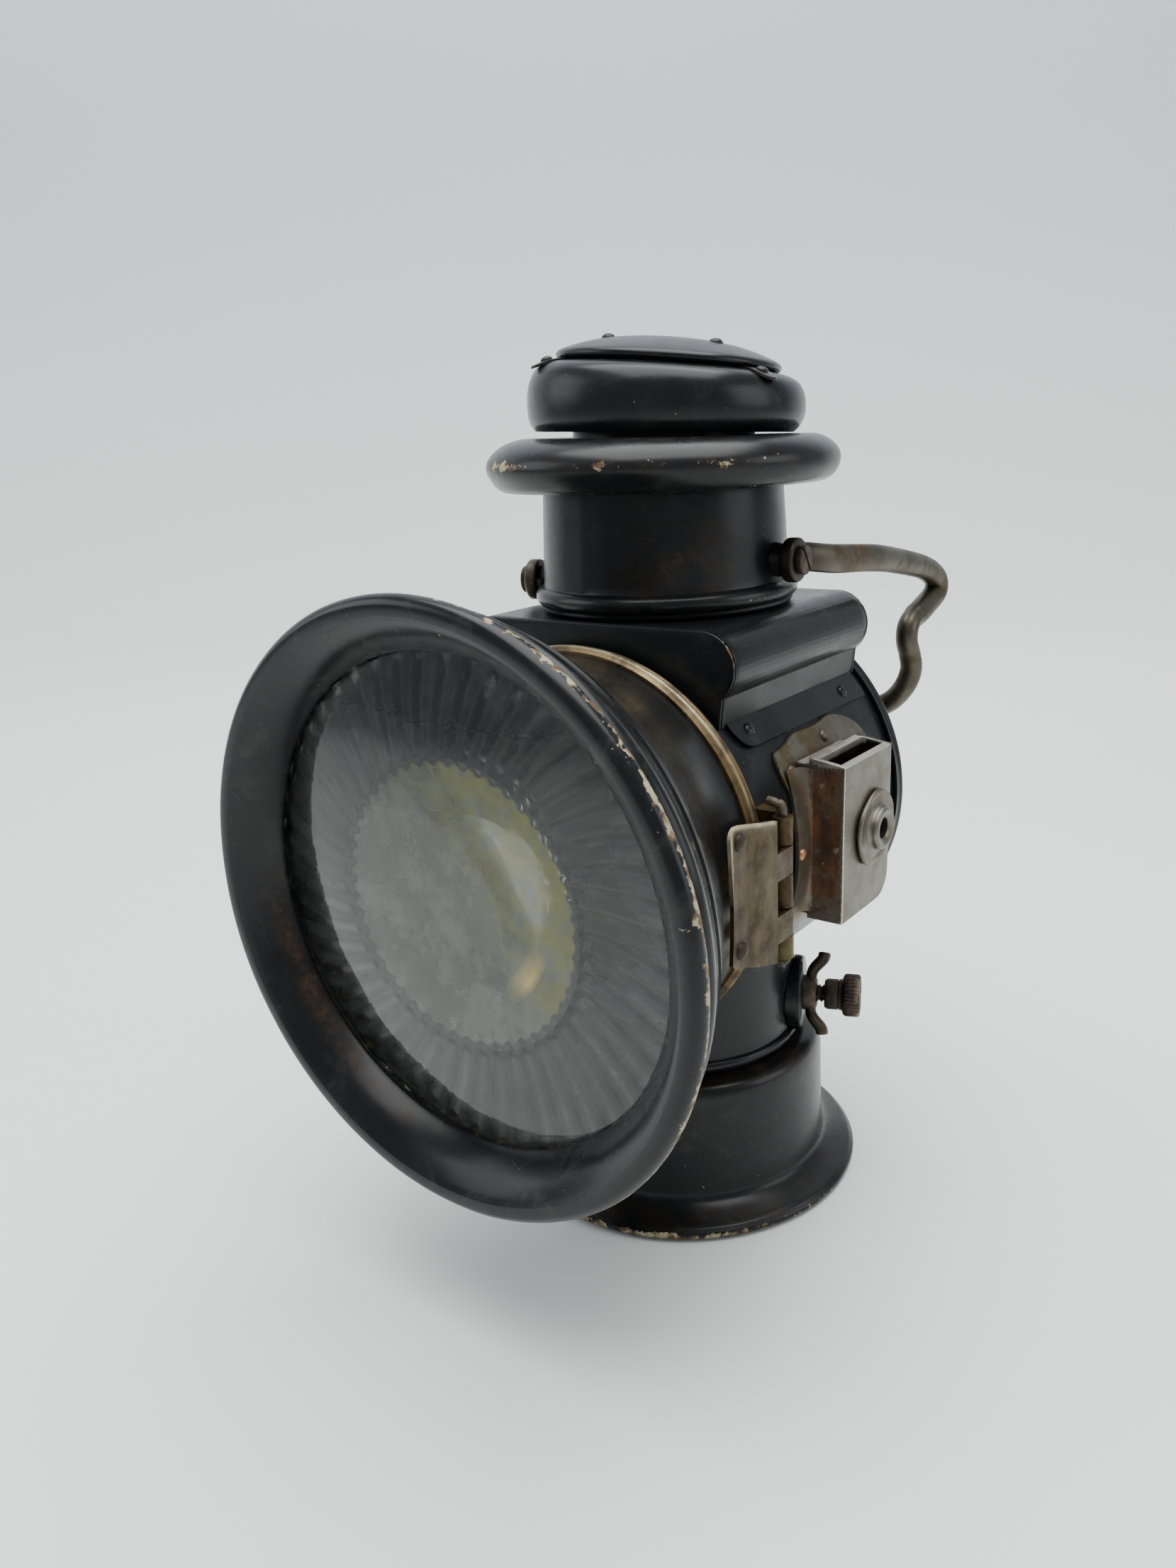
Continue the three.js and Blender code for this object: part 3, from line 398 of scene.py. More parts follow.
def finish_piece(obj, node, mask=None, sharp=38, longest=None):
    """Bend, scale to metres, paint the mask, shade, and tie the piece to its CAD node."""
    if longest:
        densified(obj, longest)
    mesh = obj.data
    if mask is not None:
        layer = mesh.color_attributes.new("mask", "FLOAT_COLOR", "POINT")
        for v, painted in zip(mesh.vertices, layer.data):
            colour = mask(*v.co) if callable(mask) else mask
            painted.color = (*(min(max(c, 0), 1) for c in colour), 1)
    for v in mesh.vertices:
        v.co = bent(v.co) * MM
    mesh.shade_smooth()
    mesh.set_sharp_from_angle(angle=math.radians(sharp))
    mesh.materials.clear()
    mesh.materials.append(FINISHES[SLOT_OF[node]])
    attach(obj, BODY_OF[node])
    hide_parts(node)
    return obj


def modified(obj, kind, **settings):
    """Apply one modifier to obj."""
    modifier = obj.modifiers.new(kind, kind)
    for key, value in settings.items():
        setattr(modifier, key, value)
    bpy.context.view_layer.update()
    result = bpy.data.meshes.new_from_object(obj.evaluated_get(bpy.context.evaluated_depsgraph_get()))
    obj.modifiers.clear()
    old = obj.data
    obj.data = result
    result.name = obj.name
    bpy.data.meshes.remove(old)
    return obj


def boolean(obj, tool, operation="DIFFERENCE"):
    modified(obj, "BOOLEAN", object=tool, operation=operation, solver="EXACT")
    bpy.data.objects.remove(tool)
    return obj


def bevelled(obj, width, segments=2, angle=35):
    return modified(obj, "BEVEL", width=width, segments=segments, limit_method="ANGLE",
                    angle_limit=math.radians(angle), use_clamp_overlap=True)


def curve_through(points, rounds=3):
    """Corner cutting: a soft line along an open path, ends kept."""
    points = [tuple(p) for p in points]
    for _ in range(rounds):
        out = [points[0]]
        for a, b in zip(points, points[1:]):
            a, b = np.array(a, float), np.array(b, float)
            out += [tuple(a * 0.75 + b * 0.25), tuple(a * 0.25 + b * 0.75)]
        points = out + [points[-1]]
    return points


def arc(x, y, radius, start, end, steps):
    angles = [math.radians(start + (end - start) * i / steps) for i in range(steps + 1)]
    return [(x + radius * math.cos(a), y + radius * math.sin(a)) for a in angles]


def sheet(path, thickness=1.0):
    """Closed outline of a sheet of even thickness along an open path."""
    half = thickness / 2
    left, right = [], []
    for i, (x, y) in enumerate(path):
        ax, ay = path[max(i - 1, 0)]
        bx, by = path[min(i + 1, len(path) - 1)]
        before = Vector((x - ax, y - ay)).normalized() if i else Vector((0, 0))
        after = Vector((bx - x, by - y)).normalized() if i < len(path) - 1 else Vector((0, 0))
        course = (before + after).normalized()
        reach = half / max(course.dot(after if i == 0 else before), 0.5)
        side = Vector((0, math.copysign(1, bx - ax))) if x == 0 else Vector((-course.y, course.x))
        left.append((x + side.x * reach, y + side.y * reach))
        right.append((x - side.x * reach, y - side.y * reach))
    return left + right[::-1]


def turned(outline, barrel=False, segments=SEGMENTS):
    """Turn a closed [radius, height] outline about Z, or about the barrel's axis."""
    verts, rings = [], []
    for r, h in outline:
        count = 1 if r < 1e-6 else segments
        start = len(verts)
        for i in range(count):
            a = TAU * i / segments
            c, s = r * math.cos(a), r * math.sin(a)
            verts.append((c, h, BARREL_Z + s) if barrel else (c, s, h))
        rings.append((start, count))
    faces = []
    for k in range(len(rings)):
        (a0, na), (b0, nb) = rings[k], rings[(k + 1) % len(rings)]
        if na == 1 and nb == 1:
            continue
        for i in range(segments):
            j = (i + 1) % segments
            here = (a0 + i, a0 + j) if na > 1 else (a0, a0)
            there = (b0 + j, b0 + i) if nb > 1 else (b0, b0)
            face = list(dict.fromkeys(here + there))
            if len(face) > 2:
                faces.append(face)
    return verts, faces


def fitted(outline, node, barrel):
    """Stretch an outline so that it fills its CAD node's box."""
    low, high = box_mm(node)
    across, along = (2, 1) if barrel else (1, 2)
    radius = (high[across] - low[across]) / 2
    hs = [h for _, h in outline]
    rs = [r for r, _ in outline]
    scale = radius / max(rs)
    h0, h1 = min(hs), max(hs)
    grow = (high[along] - low[along]) / (h1 - h0)
    return [(max(r, 0) * scale, low[along] + (h - h0) * grow) for r, h in outline]


def lathe(node, outline, barrel=False, mask=None, fit=True, sharp=38, then=None):
    outline = fitted(outline, node, barrel) if fit else outline
    obj = build(node, *turned(outline, barrel))
    if then:
        obj = then(obj)
    return finish_piece(obj, node, mask, sharp)


def loose(verts, faces):
    """A solid used as a tool, or joined into another."""
    return build("tool", verts, faces)


def rod(radius, low, high, segments=48, barrel=False):
    return turned([(0, low), (radius, low), (radius, high), (0, high)], barrel, segments)


def drum(radius, low, high, barrel=False):
    return loose(*rod(radius, low, high, SEGMENTS, barrel))


def skin_layer(inner, outer, low, high):
    """Tube round the barrel's axis, from low to high along it."""
    return loose(*turned([(inner, low), (inner, high), (outer, high), (outer, low)], True))


def rect(x0, x1, y0, y1):
    return [(x0, y0), (x1, y0), (x1, y1), (x0, y1)]


def prism(points, axis, low, high):
    """Push a flat outline along an axis: X takes (y, z), Y takes (x, z), Z takes (x, y)."""
    count = len(points)
    place = "XYZ".index(axis)
    verts = [(*p[:place], depth, *p[place:]) for depth in (low, high) for p in points]
    faces = [list(range(count)), list(range(2 * count - 1, count - 1, -1))]
    faces += [[i, (i + 1) % count, count + (i + 1) % count, count + i] for i in range(count)]
    return verts, faces


def block(x0, x1, y0, y1, z0, z1):
    return loose(*prism(rect(x0, x1, y0, y1), "Z", z0, z1))


def bell(x, middle, width):
    return math.exp(-(((x - middle) / width) ** 2))


def turn_angle(x, y):
    return math.degrees(math.atan2(y, x))


def off_axis(x, z):
    """Distance from the barrel's axis."""
    return math.hypot(x, z - BARREL_Z)


def refined(node, width=0.35, segments=2, angle=38, mask=None, sharp=38):
    """A CAD node's own shape with merged points, softened edges and smooth shading."""
    source = frame["nodes"][node].data
    verts = [tuple(v.co / MM) for v in source.vertices]
    faces = [tuple(p.vertices) for p in source.polygons]
    obj = build(node, verts, faces)
    work = bmesh.new()
    work.from_mesh(obj.data)
    bmesh.ops.remove_doubles(work, verts=work.verts, dist=1e-3)
    bmesh.ops.dissolve_limit(work, angle_limit=math.radians(1.0), verts=work.verts, edges=work.edges)
    work.to_mesh(obj.data)
    work.free()
    if width:
        bevelled(obj, width, segments, angle)
    return finish_piece(obj, node, mask, sharp)


# ------------------------------------------------------------------ barrel


def cut_flues(obj):
    boolean(obj, drum(36, BARREL_Z, BARREL_Z + 90))
    return boolean(obj, drum(30, BARREL_Z - 90, BARREL_Z))


def steps_between(low, high, count):
    return [low + (high - low) * i / count for i in range(count + 1)]


skin_rows = steps_between(BARREL_FRONT, BARREL_BACK, 24)
lathe("barrel_shell",
      [(BARREL_R, y) for y in skin_rows] + [(BARREL_R - 1, y) for y in reversed(skin_rows)],
      barrel=True, fit=False, then=cut_flues,
      mask=lambda x, y, z: (0.25 * bell(y, BARREL_BACK, 3), 0.7 * (off_axis(x, z) < BARREL_R - 0.4), 0.3))

# The mask's red marks the bead's crest, where ring_brass paints its highlight.
lathe("barrel_front_ring", [
    (SKIN, BARREL_FRONT - 0.8), (SKIN + 0.9, BARREL_FRONT - 0.8),
    *arc(SKIN + 1.0, BARREL_FRONT + 1.5, 1.45, -65, 65, 10), (SKIN + 0.9, BARREL_FRONT + 3.6),
    *arc(SKIN + 0.75, BARREL_FRONT + 4.8, 0.75, -60, 90, 8), (SKIN, BARREL_FRONT + 5.4),
], barrel=True, mask=lambda x, y, z: (bell(off_axis(x, z), SKIN + 2.4, 0.5), 0, 0))

COVER_R = SKIN + 0.5
lathe("rear_cover", sheet(curve_through([
    (COVER_R, BARREL_BACK - 1.6), (COVER_R, BARREL_BACK + 0.5), (COVER_R + 0.6, BARREL_BACK + 2),
    (COVER_R - 1, BARREL_BACK + 4), (COVER_R - 6, BARREL_BACK + 3.4), (COVER_R - 9, BARREL_BACK + 6),
    (30, BARREL_BACK + 7.6), (0, BARREL_BACK + 9),
], 2)), barrel=True, mask=lambda x, y, z: (0.15 * bell(off_axis(x, z), COVER_R, 2), 0, 0))

# ------------------------------------------------------------------ saddle

SADDLE_TOP = box_mm("saddle_shell")[1][2]
SADDLE_FRONT, SADDLE_BACK = box_mm("saddle_shell")[0][1], box_mm("saddle_shell")[1][1]
SADDLE_HALF, SADDLE_ROLL = 41.0, 11.0


def saddle_path(inset):
    """Open XZ line over the saddle, from its left foot to its right foot."""
    roll = SADDLE_ROLL - inset
    centre = SADDLE_TOP - SADDLE_ROLL
    foot = 44.2 - inset
    side = arc(SADDLE_HALF, centre, roll, 90, -52, 18)
    top = [(SADDLE_HALF * t, SADDLE_TOP - inset) for t in (0, 0.25, 0.5, 0.75)]
    right = top + side + [(foot, BARREL_Z + 20)]
    return [(-x, z) for x, z in reversed(right[1:])] + right


def socket_outline(grow):
    """Lobed outline of the socket's plate in (y, z), grown about its middle."""
    ring = curve_through([
        (-27, 108), (27, 108), (31, 112), (31, 158), (28, 163), (22, 166.6), (17, 168.0), (12, 168.8),
        (5, 167.6), (-6, 167.8), (-12, 168.2), (-17, 166.4), (-22, 165.6), (-27, 165.4), (-28, 158),
        (-25.4, 152), (-26.6, 146), (-27, 130), (-27, 108)], 2)
    return [(y * grow, 137 + (z - 137) * grow) for y, z in ring[:-1]]


def round_cut(obj):
    """Take away what reaches into the barrel."""
    return boolean(obj, drum(SKIN, -60, 60, barrel=True))


def strip(side):
    """Riveted flange of the saddle that lies on the barrel, its ends rounded."""
    rows = arc(SADDLE_BACK - 8, BARREL_Z + 40.5, 6, 90, 0, 6) + [(SADDLE_BACK - 2, BARREL_Z + 34.8)]
    rows += [(SADDLE_FRONT + 9, BARREL_Z + 34.8)] + arc(SADDLE_FRONT + 9, BARREL_Z + 41.6, 6.6, 270, 180, 8)
    rows += [(SADDLE_FRONT + 2.2, BARREL_Z + 47)]
    x0, x1 = (30, 70) if side > 0 else (-70, -30)
    piece = loose(*prism(rows, "X", x0, x1))
    return boolean(piece, skin_layer(SKIN, SKIN + 1, -50, 50), "INTERSECT")


def saddle():
    outline = saddle_path(0) + saddle_path(1)[::-1]
    obj = build("saddle_shell", *prism(outline, "Y", SADDLE_FRONT, SADDLE_BACK))
    round_cut(obj)
    boolean(obj, drum(36, BARREL_Z, SADDLE_TOP + 5))
    bevelled(obj, 0.3, 2, 40)
    for side in (1, -1):
        flange = strip(side)
        if side > 0:
            boolean(flange, loose(*prism(socket_outline(1.02), "X", 30, 80)))
        bevelled(flange, 0.25, 1, 40)
        join_into(obj, flange)

    def mask(x, y, z):
        smudge = 0.7 * bell(x, 46, 7) * bell(y, 8, 9) * bell(z, SADDLE_TOP - 1, 4)
        return (0.12 * bell(y, SADDLE_FRONT, 1.2) + 0.55 * smudge, 0, smudge)

    finish_piece(obj, "saddle_shell", mask, longest=3.5)


def join_into(obj, other):
    work = bmesh.new()
    work.from_mesh(obj.data)
    work.from_mesh(other.data)
    work.to_mesh(obj.data)
    work.free()
    bpy.data.objects.remove(other)


def saddle_plate(node):
    low, high = box_mm(node)
    obj = build(node, *prism(saddle_path(0), "Y", low[1], high[1]))
    round_cut(obj)
    bevelled(obj, 0.45, 3, 35)

    def mask(x, y, z):
        centre_z = SADDLE_TOP - SADDLE_ROLL
        out = math.hypot(abs(x) - SADDLE_HALF, z - centre_z) if abs(x) > SADDLE_HALF else z - centre_z
        rim = bell(out, SADDLE_ROLL, 0.5) * bell(turn_angle(x - SADDLE_HALF, z - centre_z), 35, 45)
        return (rim * 0.95 * (x > 30), 0, 0.2)

    finish_piece(obj, node, mask, longest=2.5)


saddle()
saddle_plate("saddle_front_plate")
saddle_plate("saddle_rear_plate")

# ------------------------------------------------------------------ chimney and crown

CHIMNEY_LOW = box_mm("chimney")[0][2] + 0.5
VENT_R = box_mm("vent_tube")[1][1]


def chimney_mask(x, y, z):
    side = turn_angle(x, y)
    seam = bell(side, -92, 4)
    rub = 0.30 * bell(side, -52, 14) * bell(z, 220, 9)
    foot = 0.5 * bell(z, CHIMNEY_LOW + 4, 1.6) * bell(side, -10, 24)
    rust = 0.35 * bell(side, -50, 20) * bell(z, 222, 12)
    return (rub + foot, rust, 0.6 * seam + 0.8 * bell(z, CHIMNEY_LOW + 5, 2.5))


def dented(obj):
    """The long shallow dent beside the chimney's seam."""
    for v in obj.data.vertices:
        if v.co.z < CHIMNEY_LOW + 8 or v.co.z > 246:
            continue
        side = turn_angle(v.co.x, v.co.y)
        push = 0.75 * bell(side, -78 + 0.35 * (v.co.z - 228), 13) * bell(v.co.z, 230, 15)
        push -= 0.22 * bell(side, -96, 2.2)
        r = math.hypot(v.co.x, v.co.y)
        v.co.x *= (r - push) / r
        v.co.y *= (r - push) / r
    return obj


WALL_LOW, WALL_HIGH = CHIMNEY_LOW + 8, 243.4
bead = [(37.5, 0), (41.4, 0), (41.3, 1.8), (42.9, 2.9), (43.1, 5.1), (41.8, 6.6), (40.5, 6.9), (40.3, 7.4)]
wall = [(40.2 - 1.6 * i / 16, WALL_LOW + (WALL_HIGH - WALL_LOW) * i / 16) for i in range(17)]
lathe("chimney", sheet(
    curve_through([(r, CHIMNEY_LOW + h) for r, h in bead], 3) + wall[:-1]
    + curve_through([wall[-1], (38.2, 246), (36.8, 247), (VENT_R + 0.9, 247.4)], 3)),
    mask=chimney_mask, then=dented)


def window_cutter(i):
    """Cutter for one pair of the vent tube's windows."""
    tool = block(-40, 40, -5, 5, 262, 273)
    tool.data.transform(Matrix.Rotation(i * math.pi / 3, 4, "Z"))
    return tool


lathe("vent_tube", [(VENT_R, h) for h in steps_between(240, 276.6, 12)]
      + [(VENT_R - 1, h) for h in steps_between(276.6, 240, 12)],
      then=lambda o: [boolean(o, window_cutter(i)) for i in range(3)][-1])

LOW_LIP = box_mm("lower_canopy")[0][2]
LOW_R = box_mm("lower_canopy")[1][1] + 0.5
HIGH_R = box_mm("upper_canopy")[1][1] - 0.5


def lower_mask(x, y, z):
    side = turn_angle(x, y)
    band = bell(z, 251.3, 2.2)
    spots = 0.74 * bell(side, -116, 16) + 0.68 * bell(side, -34, 12) + 0.52 * bell(side, -72, 22)
    rim = bell(z, LOW_LIP + 0.5, 0.9) * 0.3
    return (band * spots + rim, 0.18 * band * (0.35 + spots), 0.4)


lathe("lower_canopy", sheet(curve_through([
    (VENT_R + 0.5, 257.4), (42, 258.0), (49.5, 257.9), (54.6, 255.6), (LOW_R + 0.3, 252.0),
    (LOW_R + 0.3, 248.4), (55.4, 244.6), (53.2, 243.4),
], 3)), mask=lower_mask)

lathe("upper_canopy", sheet(curve_through([
    (21, 278.9), (33.6, 278.8), (40.6, 277.4), (HIGH_R - 0.3, 272.9), (HIGH_R + 0.3, 267.2),
    (HIGH_R - 0.5, 262.4), (41.0, 260.0),
], 3)), fit=False, mask=lambda x, y, z: (0.35 * bell(z, 259.6, 1.0), 0, 0.5))

lathe("top_cap", sheet(curve_through([
    (0, 287.6), (12, 287.2), (22, 285.6), (29.4, 283.2), (34.4, 281.0), (35.6, 280.0), (35.7, 278.8),
    (35.0, 278.2),
], 2)), mask=lambda x, y, z: (0.3 * bell(math.hypot(x, y), 35.4, 1.2), 0, 0.3))


def solid_of(parts):
    """One mesh from several (verts, faces) pairs."""
    verts, faces = [], []
    for v, f in parts:
        faces += [[i + len(verts) for i in face] for face in f]
        verts += list(v)
    return verts, faces


def moved(part, matrix):
    verts, faces = part
    return [tuple(matrix @ Vector(v)) for v in verts], faces


def rivet(radius, height, segments=20):
    """Domed head standing on z = 0."""
    dome = [(radius * math.cos(a), height * math.sin(a)) for a in [math.pi / 2 * i / 5 for i in range(5)]]
    return turned([(0, -0.6), (radius, -0.6)] + dome + [(0, height)], False, segments)


def tube(rings):
    """Closed skin along rings of points, all with as many points."""
    around, count = len(rings[0]), len(rings)
    faces = [list(range(around)), list(range((count - 1) * around, count * around))]
    for i in range(count - 1):
        for k in range(around):
            a, b = i * around + k, i * around + (k + 1) % around
            faces.append([a, b, b + around, a + around])
    return [p for ring in rings for p in ring], faces


def slab(top, under):
    """Closed solid between two grids of points."""
    rows, wide = len(top), len(top[0])
    n = rows * wide
    faces = []
    for i in range(rows - 1):
        for a in range(i * wide, (i + 1) * wide - 1):
            b = a + wide
            faces += [[a, a + 1, b + 1, b], [n + a, n + b, n + b + 1, n + a + 1]]
        for a in (i * wide, (i + 1) * wide - 1):
            faces.append([a, a + wide, n + a + wide, n + a])
    for i in (0, rows - 1):
        for a in range(i * wide, (i + 1) * wide - 1):
            faces.append([a, a + 1, n + a + 1, n + a])
    return [p for grid in (top, under) for row in grid for p in row], faces


def clip(node, rivet_node):
    """Bent tab with a round riveted end, from under the cap to the upper canopy."""
    middle = middle_mm(node)
    turn = Matrix.Rotation(math.atan2(middle[1], middle[0]), 4, "Z")
    half_width, round_from = 3.6, 40.6
    line = curve_through([(15, 285.2), (22, 282.7), (29, 280.8), (34, 279.8), (39.4, 278.9), (44.2, 276.6)], 2)
    rows = []
    for r, z in line:
        half = math.sqrt(max(half_width ** 2 - max(r - round_from, 0) ** 2, 0.3))
        rows.append([(r, half * k, z - 0.03 * (half * k) ** 2 / 2) for k in (-1, -0.6, 0, 0.6, 1)])
    tab = slab(rows, [[(x, y, z - 0.8) for x, y, z in row] for row in rows])
    head = moved(rivet(1.9, 1.0), Matrix.Translation((39.6, 0, 278.7)) @ Matrix.Rotation(0.36, 4, "Y"))
    finish_piece(build(node, *moved(solid_of([tab, head]), turn)), node, (0.2, 0.2, 0))
    x, y, _ = middle_mm(rivet_node)
    top = moved(rivet(2.3, 1.7), Matrix.Translation((x, y, box_mm(rivet_node)[1][2] - 2.2)))
    finish_piece(build(rivet_node, *top), rivet_node, (0.2, 0.2, 0))


for number in (1, 2, 3):
    clip(f"cap_clip_{number}", f"cap_rivet_{number}")

# ------------------------------------------------------------------ handle

ROD_R = 4.3


def smooth_line(points, per=8):
    """Catmull-Rom line through points."""
    points = [np.array(p, float) for p in points]
    points = [2 * points[0] - points[1]] + points + [2 * points[-1] - points[-2]]
    line = []
    for a, b, c, d in zip(points, points[1:], points[2:], points[3:]):
        for i in range(per):
            t = i / per
            square, cube = 2 * a - 5 * b + 4 * c - d, 3 * b - a - 3 * c + d
            line.append(0.5 * ((2 * b) + (c - a) * t + square * t * t + cube * t ** 3))
    line.append(points[-2])
    return line


def swept(line, radius, around=24, shaped=lambda off, share: off):
    """Round rod along a line; radius is a function of the point."""
    rings, side = [], None
    last = len(line) - 1
    for i, p in enumerate(line):
        course = Vector(line[min(i + 1, last)] - line[max(i - 1, 0)]).normalized()
        side = (course.orthogonal() if side is None else side - course * side.dot(course)).normalized()
        up = course.cross(side)
        turns = [TAU * k / around for k in range(around)]
        offs = [(side * math.cos(a) + up * math.sin(a)) * radius(p) for a in turns]
        rings.append([tuple(Vector(p) + shaped(off, i / last)) for off in offs])
    return tube(rings)


HANDLE_X = box_mm("handle")[1][0] - ROD_R
RIGHT_EYE = {"azimuth": 4, "z": 219.4, "node": "handle_screw_right"}
LEFT_EYE = {"azimuth": 198, "z": 213.0, "node": "handle_screw_left"}
EYE_IN, EYE_OUT = 44.0, 48.4


def eye_matrix(eye):
    """Carries +Z onto the eye's outward direction, at its height."""
    azimuth = math.radians(eye["azimuth"])
    return Matrix.Translation((0, 0, eye["z"])) @ Matrix.Rotation(azimuth, 4, "Z") @ TO_X


def handle():
    arm = [(49, 215), (72, 211), (92, 206.6), (103, 201.5), (103.5, 196.2), (92, 192), (80.5, 188.4),
           (78, 182.5), (81, 176.5), (82.6, 170.5)]
    grip = [(50, 82, 164), (44, 82, 157.5), (34, 82, 153.5), (18, 82, 152)]

    def half(side, eye, step):
        azimuth = math.radians(eye["azimuth"])
        out = np.array([math.cos(azimuth), math.sin(azimuth), 0])
        back = np.array([-out[1] * side, out[0] * side, 0])
        middle = out * (EYE_IN + EYE_OUT) / 2 + np.array([0, 0, eye["z"]])
        start = [middle + back * 3.0, middle + back * 9.0]
        bow = [(HANDLE_X, y, z) for y, z in arm] + grip
        return start + [step] + [(side * x, y, z) for x, y, z in bow]

    right, left = half(1, RIGHT_EYE, (49.6, 24, 217.6)), half(-1, LEFT_EYE, (-51.4, 10, 214.0))
    line = smooth_line(right + left[::-1], 9)

    def radius(p):
        lower = 0.35 if p[2] < 190 else 0
        return ROD_R - lower + 0.10 * noise.noise(Vector(p) * 0.08)

    def shaped(off, share):
        flat = min(1, max(0, (0.16 - min(share, 1 - share)) / 0.10))
        flat = flat * flat * (3 - 2 * flat)
        return Vector((off.x * (1 - 0.45 * flat), off.y * (1 - 0.2 * flat), off.z * (1 + 0.08 * flat)))

    obj = build("handle", *swept(line, radius, 24, shaped))
    disc = [(2.6, EYE_IN), (5.6, EYE_IN), *arc(5.9, EYE_IN + 1.0, 1.0, -90, 0, 4),
            *arc(5.9, EYE_OUT - 1.0, 1.0, 0, 90, 4), (5.4, EYE_OUT), (2.6, EYE_OUT)]
    for eye in (RIGHT_EYE, LEFT_EYE):
        boolean(obj, loose(*moved(turned(disc, False, 48), eye_matrix(eye))), "UNION")

    def mask(x, y, z):
        bend = 0.7 * bell(y, 96, 10) * bell(z, 204, 9) + 0.6 * bell(y, 34, 10) + 0.6 * bell(z, 178, 12)
        dark = bell(y, 4, 9) * (z > 205)
        return (0.6 + 0.4 * bend, 0.35 * bell(y, 34, 10), 0.58 + 0.9 * dark)

    finish_piece(obj, "handle", mask, 45)


def eye_screw(eye):
    """Slotted screw through the eye, and the lug behind it on the chimney."""
    at = eye_matrix(eye)
    head = EYE_OUT + 0.3
    face = [(0, EYE_IN + 0.4), (2.2, EYE_IN + 0.4), (2.2, head), (4.3, head),
            *arc(3.9, head + 1.3, 0.7, 0, 90, 4), (0, head + 2.1)]
    screw = build(eye["node"], *moved(turned(face, False, 40), at))
    slot = prism(rect(-6, 6, -0.55, 0.55), "Z", head + 1.1, head + 4)
    boolean(screw, loose(*moved(slot, at @ Matrix.Rotation(0.6, 4, "Z"))))
    finish_piece(screw, eye["node"], (0.1, 0, 0))
    lug_node = eye["node"].replace("screw", "lug")
    cone = [(0, 36), (6.2, 36), (5.4, 41), (4.8, EYE_IN - 0.6), (4.4, EYE_IN - 0.3), (0, EYE_IN - 0.3)]
    lug = build(lug_node, *moved(turned(cone, False, 40), at))
    chimney_side = [(0, 190), (44.4, 190), (44.4, 213.2), (41.0, 214.6), (39.4, 240), (0, 240)]
    boolean(lug, loose(*turned(chimney_side)))
    finish_piece(lug, lug_node, (0.2, 0.2, 0))


handle()
eye_screw(RIGHT_EYE)
eye_screw(LEFT_EYE)

# ------------------------------------------------------------------ neck and what it holds

NECK_LOW = box_mm("neck")[0][2]
NECK_R = 42.0
SCREW_Z = middle_mm("clamp_knob")[2]
SCREW_AZIMUTH = math.radians(22)
SCREW = Matrix.Translation((0, 0, SCREW_Z)) @ Matrix.Rotation(SCREW_AZIMUTH, 4, "Z") @ TO_X


def thread_tool():
    """Cutter for the clamp screw's hole."""
    return loose(*moved(rod(3.5, 30, 60, 40), SCREW))


bead = [(-0.5, 0.3), (1.3, 0.7), (1.3, 3.4), (-0.5, 3.9), (-0.5, 6)]
lathe("neck", sheet(curve_through([(NECK_R + out, NECK_LOW + h) for out, h in bead], 3)
                    + [(NECK_R - 0.5, h) for h in steps_between(NECK_LOW + 8, BARREL_Z - 40, 12)]),
      fit=False, then=lambda obj: boolean(round_cut(obj), thread_tool()),
      mask=lambda x, y, z: (0.25 * bell(z, NECK_LOW + 2, 2), 0, 0.5))


def boss():
    outline = [(0, 36), (13.2, 36), (13.2, 43.6), *arc(12.0, 44.4, 1.1, 0, 90, 5), (0, 45.4)]
    obj = build("clamp_boss", *moved(turned(outline, False, 72), SCREW))
    boolean(obj, drum(NECK_R + 0.3, NECK_LOW - 5, BARREL_Z))
    boolean(obj, drum(NECK_R + 1.9, NECK_LOW - 5, NECK_LOW + 4.6))
    boolean(obj, thread_tool())
    round_cut(obj)
    finish_piece(obj, "clamp_boss", lambda x, y, z: (0.35 * bell(math.hypot(x, y), 45, 1.0), 0, 0))


def threaded(radius, pitch, low, high, segments=40):
    """A screw thread as one closed solid."""
    steps = int((high - low) / pitch * 8)
    rings = []
    for i in range(steps + 1):
        h = low + (high - low) * i / steps
        ring = []
        for k in range(segments):
            wave = abs((((h - low) / pitch + k / segments) % 1.0) * 2 - 1)
            r = radius - 0.85 * (1 - wave)
            ring.append((r * math.cos(TAU * k / segments), r * math.sin(TAU * k / segments), h))
        rings.append(ring)
    return tube(rings)


COLLAR_IN, KNOB_IN, KNOB_OUT = 53.8, 59.6, 65.4


